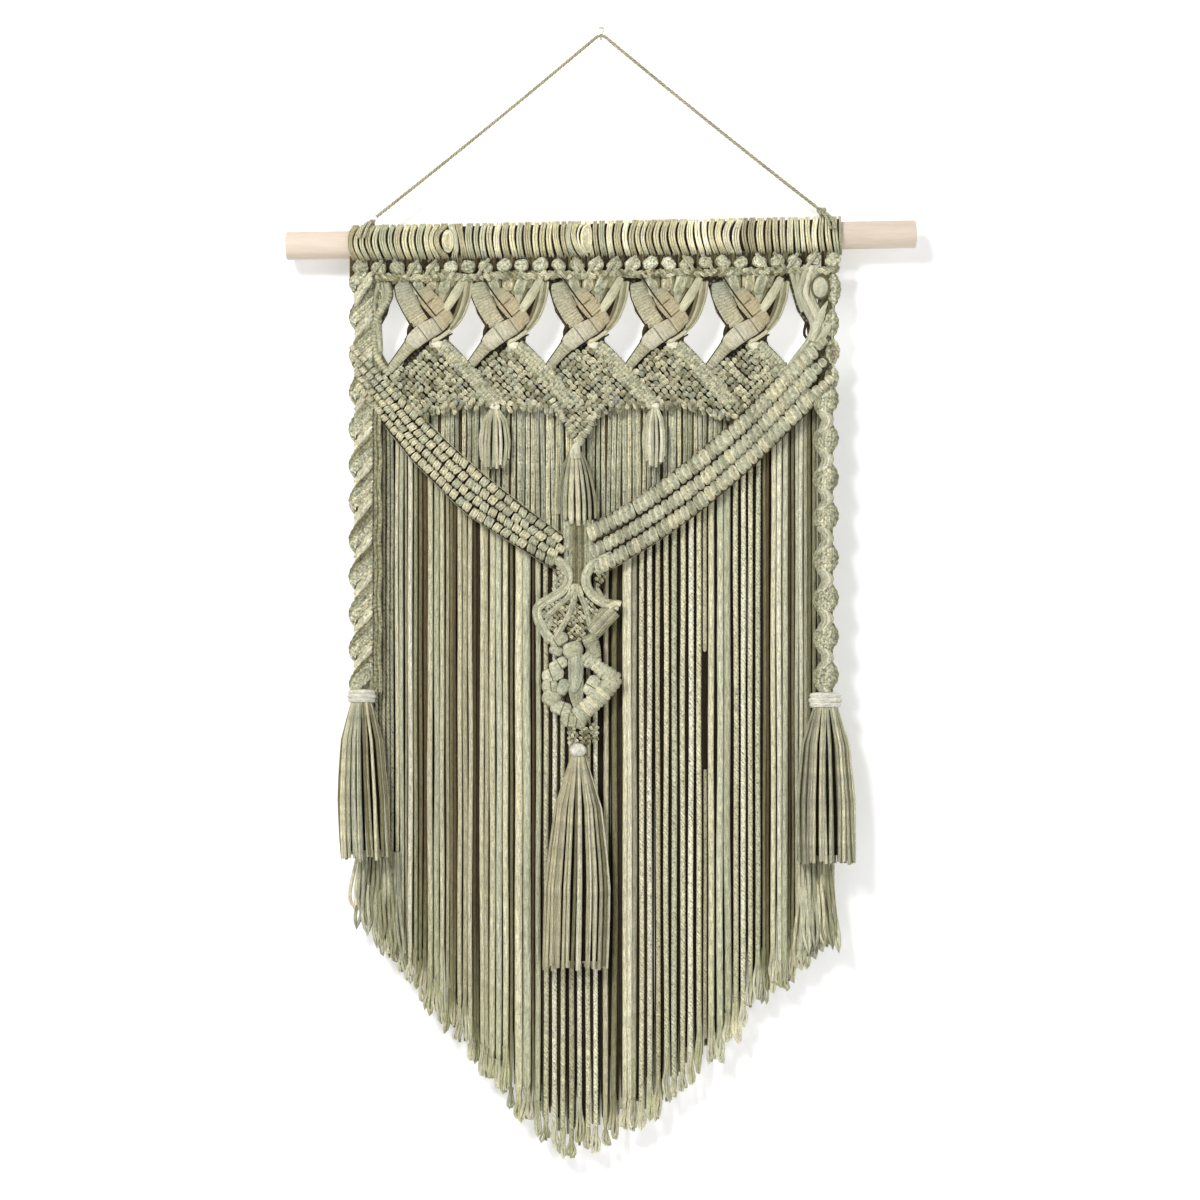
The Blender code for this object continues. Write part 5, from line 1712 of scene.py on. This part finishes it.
def knot_ornament():
    """The centre piece: a stem, leaves filled with small knots, curls, a ribbed roll and a loop."""
    rng = random.Random(51)
    cords, soft, knots = Skein(), Skein(), Skein()
    depth = ORNAMENT_DEPTH
    for column, half, name in STEM:
        lower = between(STEM_FOOT, column)
        hang(cords, rng, column, 520, lower, depth + 0.0004, half, shade(name, 0.95), step=8, sway=0.5)
    for places, half in GROUNDS:
        widths = ((0.0, half * 0.5), (0.3, half), (0.7, half), (1.0, half * 0.5))
        cords.lay(places, depth + 0.0022, 3, widths, shade("shade"), flat=0.2, sides=10)
    for corners, names in PATCHES:
        knot_patch(knots, rng, corners, names, depth - 0.0002)
    for places, half, names, lift in STRAPS:
        strap(soft, rng, places, half, names, depth - lift)
    # The ribbed roll, the wrapped leaf below it, and the turned end at its top.
    for k in range(9):
        shift = (k - 4) * 2.1
        places = ((613 + shift * 0.68, 609 + shift * 0.72), (605 + shift * 0.7, 617 + shift * 0.74),
                  (597 + shift * 0.72, 626 + shift * 0.74), (591 + shift * 0.66, 633 + shift * 0.68))
        name = ("cream", "pale_sage", "sage")[k % 3]
        soft.lay(places, depth - 0.0046 + 0.00008 * shift * shift, 3, 1.25, shade(name, 0.98), sides=7)
    soft.lay(((611, 611), (602, 620), (593, 630)), depth - 0.0022, 3, 8.4, shade("moss"), flat=0.24, sides=12)
    soft.lay(((621, 604), (615, 603), (609, 608)), depth - 0.0034, 3, 3.2, shade("cream"), sides=9)
    leaf = grid_route(((588, 636), (593, 646), (599, 660)), depth - 0.0014, 2.4)
    wrap_along(soft, rng, leaf, shares(leaf, ((0.0, 6.4), (0.3, 7.2), (0.65, 5.0), (1.0, 1.6))), 1.55 * STEP,
               ("sage", "moss", "sage"), 0.0032, sides=8, rings=9)
    for places, half, pitch, names in ROLLS:
        route = grid_route(places, depth - 0.0010, pitch)
        wrap_along(soft, rng, route, [half * STEP] * len(route), pitch * 0.67 * STEP, names, 0.0042,
                   spread=0.07, sides=8, rings=9)
    for column, row, long, half, turn, name, places in LOOP_KNOTS:
        arm = leaning(turn) * (max(long - half, 0.8) * STEP)
        centre = on_grid(column, row, depth - 0.0014)
        tint = shade(name, rng.uniform(0.96, 1.06))
        capsule(soft, centre - arm, centre + arm, half * STEP, tint, flat=0.60, sides=12, rings=11)
        turns_on(soft, centre, arm, half, places)
    # The two flat tongues down the middle of the loop, one over the other.
    for low, high, wide, drift, lift, names in ((654, 692, 3.1, -1.5, 0.0024, ("grey_green", "pale_sage")),
                                                (678, 708, 3.0, 1.5, 0.0010, ("sage", "grey_green"))):
        for k in range(5):
            shift = (k - 2) * wide
            places = ((576 + shift * 0.95, low), (576 + shift, low + 10),
                      (576 + shift * 0.8 + drift * 0.4, high - 10), (575 + shift * 0.18 + drift, high))
            soft.lay(places, depth - lift, 3, 1.9, pick(rng, names, 0.04), sides=7)
    cords.piece("centre_stem", SPECKLED, "sage", "ornament")
    soft.piece("centre_knotwork", SOFT, "sage", "ornament")
    knots.piece("centre_leaves", SPECKLED, "sage", "ornament")


# The room: a white wall behind, a pale floor far below, soft light and the camera.

# How far behind the dowel's axis the wall stands, the place on it where it glows most, and the
# middle of the cloth, which the lamps face.
WALL_DEPTH = 0.019
GLOW_MIDDLE = (0.0, WALL_DEPTH, -0.243)
CLOTH_MIDDLE = (0.0, 0.0, -0.45)


def one_way_white(name, colour):
    """White paint on the side that faces the room; the other side lets the eye and the light through.
    It glows a little, and more behind the openings of the top panel."""
    finish = Finish(name)
    away = finish.vector("SUBTRACT", finish.place(), GLOW_MIDDLE)
    away = finish.vector("MULTIPLY", away, (5.2, 0.0, 18.0))
    away = finish.node("ShaderNodeVectorMath", {"operation": "LENGTH"}, {0: away}, 1)
    glow = finish.spread(away, 0.85, 1.25, 0.57, 0.22)
    glow = finish.node("ShaderNodeCombineXYZ", {}, {0: glow, 1: glow, 2: glow})
    finish.set(Base_Color=(*colour, 1.0), Roughness=0.95, Emission_Color=glow, Emission_Strength=1.0)
    clear = finish.node("ShaderNodeBsdfTransparent")
    side = finish.node("ShaderNodeNewGeometry", output="Backfacing")
    ray = finish.node("ShaderNodeLightPath", output="Is Shadow Ray")
    share = finish.node("ShaderNodeMath", {"operation": "MAXIMUM"}, {0: side, 1: ray})
    paint = Flow(finish, finish.surface.outputs[0])
    both = finish.node("ShaderNodeMixShader", {}, {0: share, 1: paint, 2: clear})
    finish.feed(finish.tree.nodes["Material Output"].inputs["Surface"], both)
    return finish


def stage_plane(name, size, place, turn, finish):
    bpy.ops.object.select_all(action="DESELECT")
    bpy.ops.mesh.primitive_plane_add(size=size, location=place, rotation=turn)
    plane = bpy.context.object
    plane.name = plane.data.name = name
    apply_place(plane)
    plane.data.materials.append(finish.material)


def add_light(name, place, size, power, colour):
    """A square lamp that faces the middle of the cloth."""
    data = bpy.data.lights.new(name, "AREA")
    data.energy = power
    data.size = size
    data.color = colour
    lamp = bpy.data.objects.new(name, data)
    lamp.location = place
    lamp.rotation_euler = (Vector(CLOTH_MIDDLE) - Vector(place)).to_track_quat("-Z", "Y").to_euler()
    bpy.context.scene.collection.objects.link(lamp)


def set_room():
    """The wall and the floor, three soft lights and an even light all round."""
    wall = one_way_white("white_wall", (0.80, 0.80, 0.81))
    stage_plane("wall", 6.0, (0.0, WALL_DEPTH, -0.45), (math.pi / 2, 0.0, 0.0), wall)
    floor = Finish("pale_floor")
    floor.set(Base_Color=(0.86, 0.855, 0.84, 1.0), Roughness=0.8)
    stage_plane("floor", 6.0, (0.0, -2.9, -1.35), (0.0, 0.0, 0.0), floor)
    add_light("window", (-1.0, -2.0, 0.9), 0.5, 54, (1.0, 0.99, 0.97))
    add_light("fill", (1.8, -2.2, -0.2), 2.2, 14, (0.98, 0.99, 1.0))
    add_light("behind", (0.8, 2.2, 0.4), 1.6, 30, (1.0, 1.0, 1.0))
    world = bpy.data.worlds.new("room")
    world.use_nodes = True
    background = world.node_tree.nodes["Background"]
    background.inputs["Color"].default_value = (1.0, 1.0, 1.0, 1.0)
    background.inputs["Strength"].default_value = 0.5
    bpy.context.scene.world = world
    bpy.context.scene.view_settings.view_transform = "Standard"


def set_camera():
    """Straight on, far enough for a nearly flat view, the picture as wide as the whole grid."""
    data = bpy.data.cameras.new("camera")
    camera = bpy.data.objects.new("camera", data)
    bpy.context.scene.collection.objects.link(camera)
    distance = 2.6
    data.sensor_width = 36.0
    data.lens = data.sensor_width * distance / (GRID_WIDTH * STEP)
    camera.location = on_grid(GRID_MIDDLE, GRID_MIDDLE, -0.006 - distance)
    camera.rotation_euler = (math.pi / 2, 0.0, 0.0)
    bpy.context.scene.camera = camera


set_camera()
hang_cord()
bend_hook()
tie_end("left_tie", "hanger_tie_left", TIE_LEFT, -0.006, shade("cream", 0.85), 0.6, 0.0014)
tie_end("right_tie", "hanger_tie_right", TIE_RIGHT, 0.006, shade("sage"), 1.0, 0.0)
turn_dowel()
wind_heading()
make_lattice()
hang_inner_strands()
knot_left_band()
wrap_right_band()
hang_curtain()
knot_ornament()
plait_left_sinnet()
plait_right_sinnet()
for row in TASSELS:
    tassel(*row)
make_upper_tassel()
set_room()
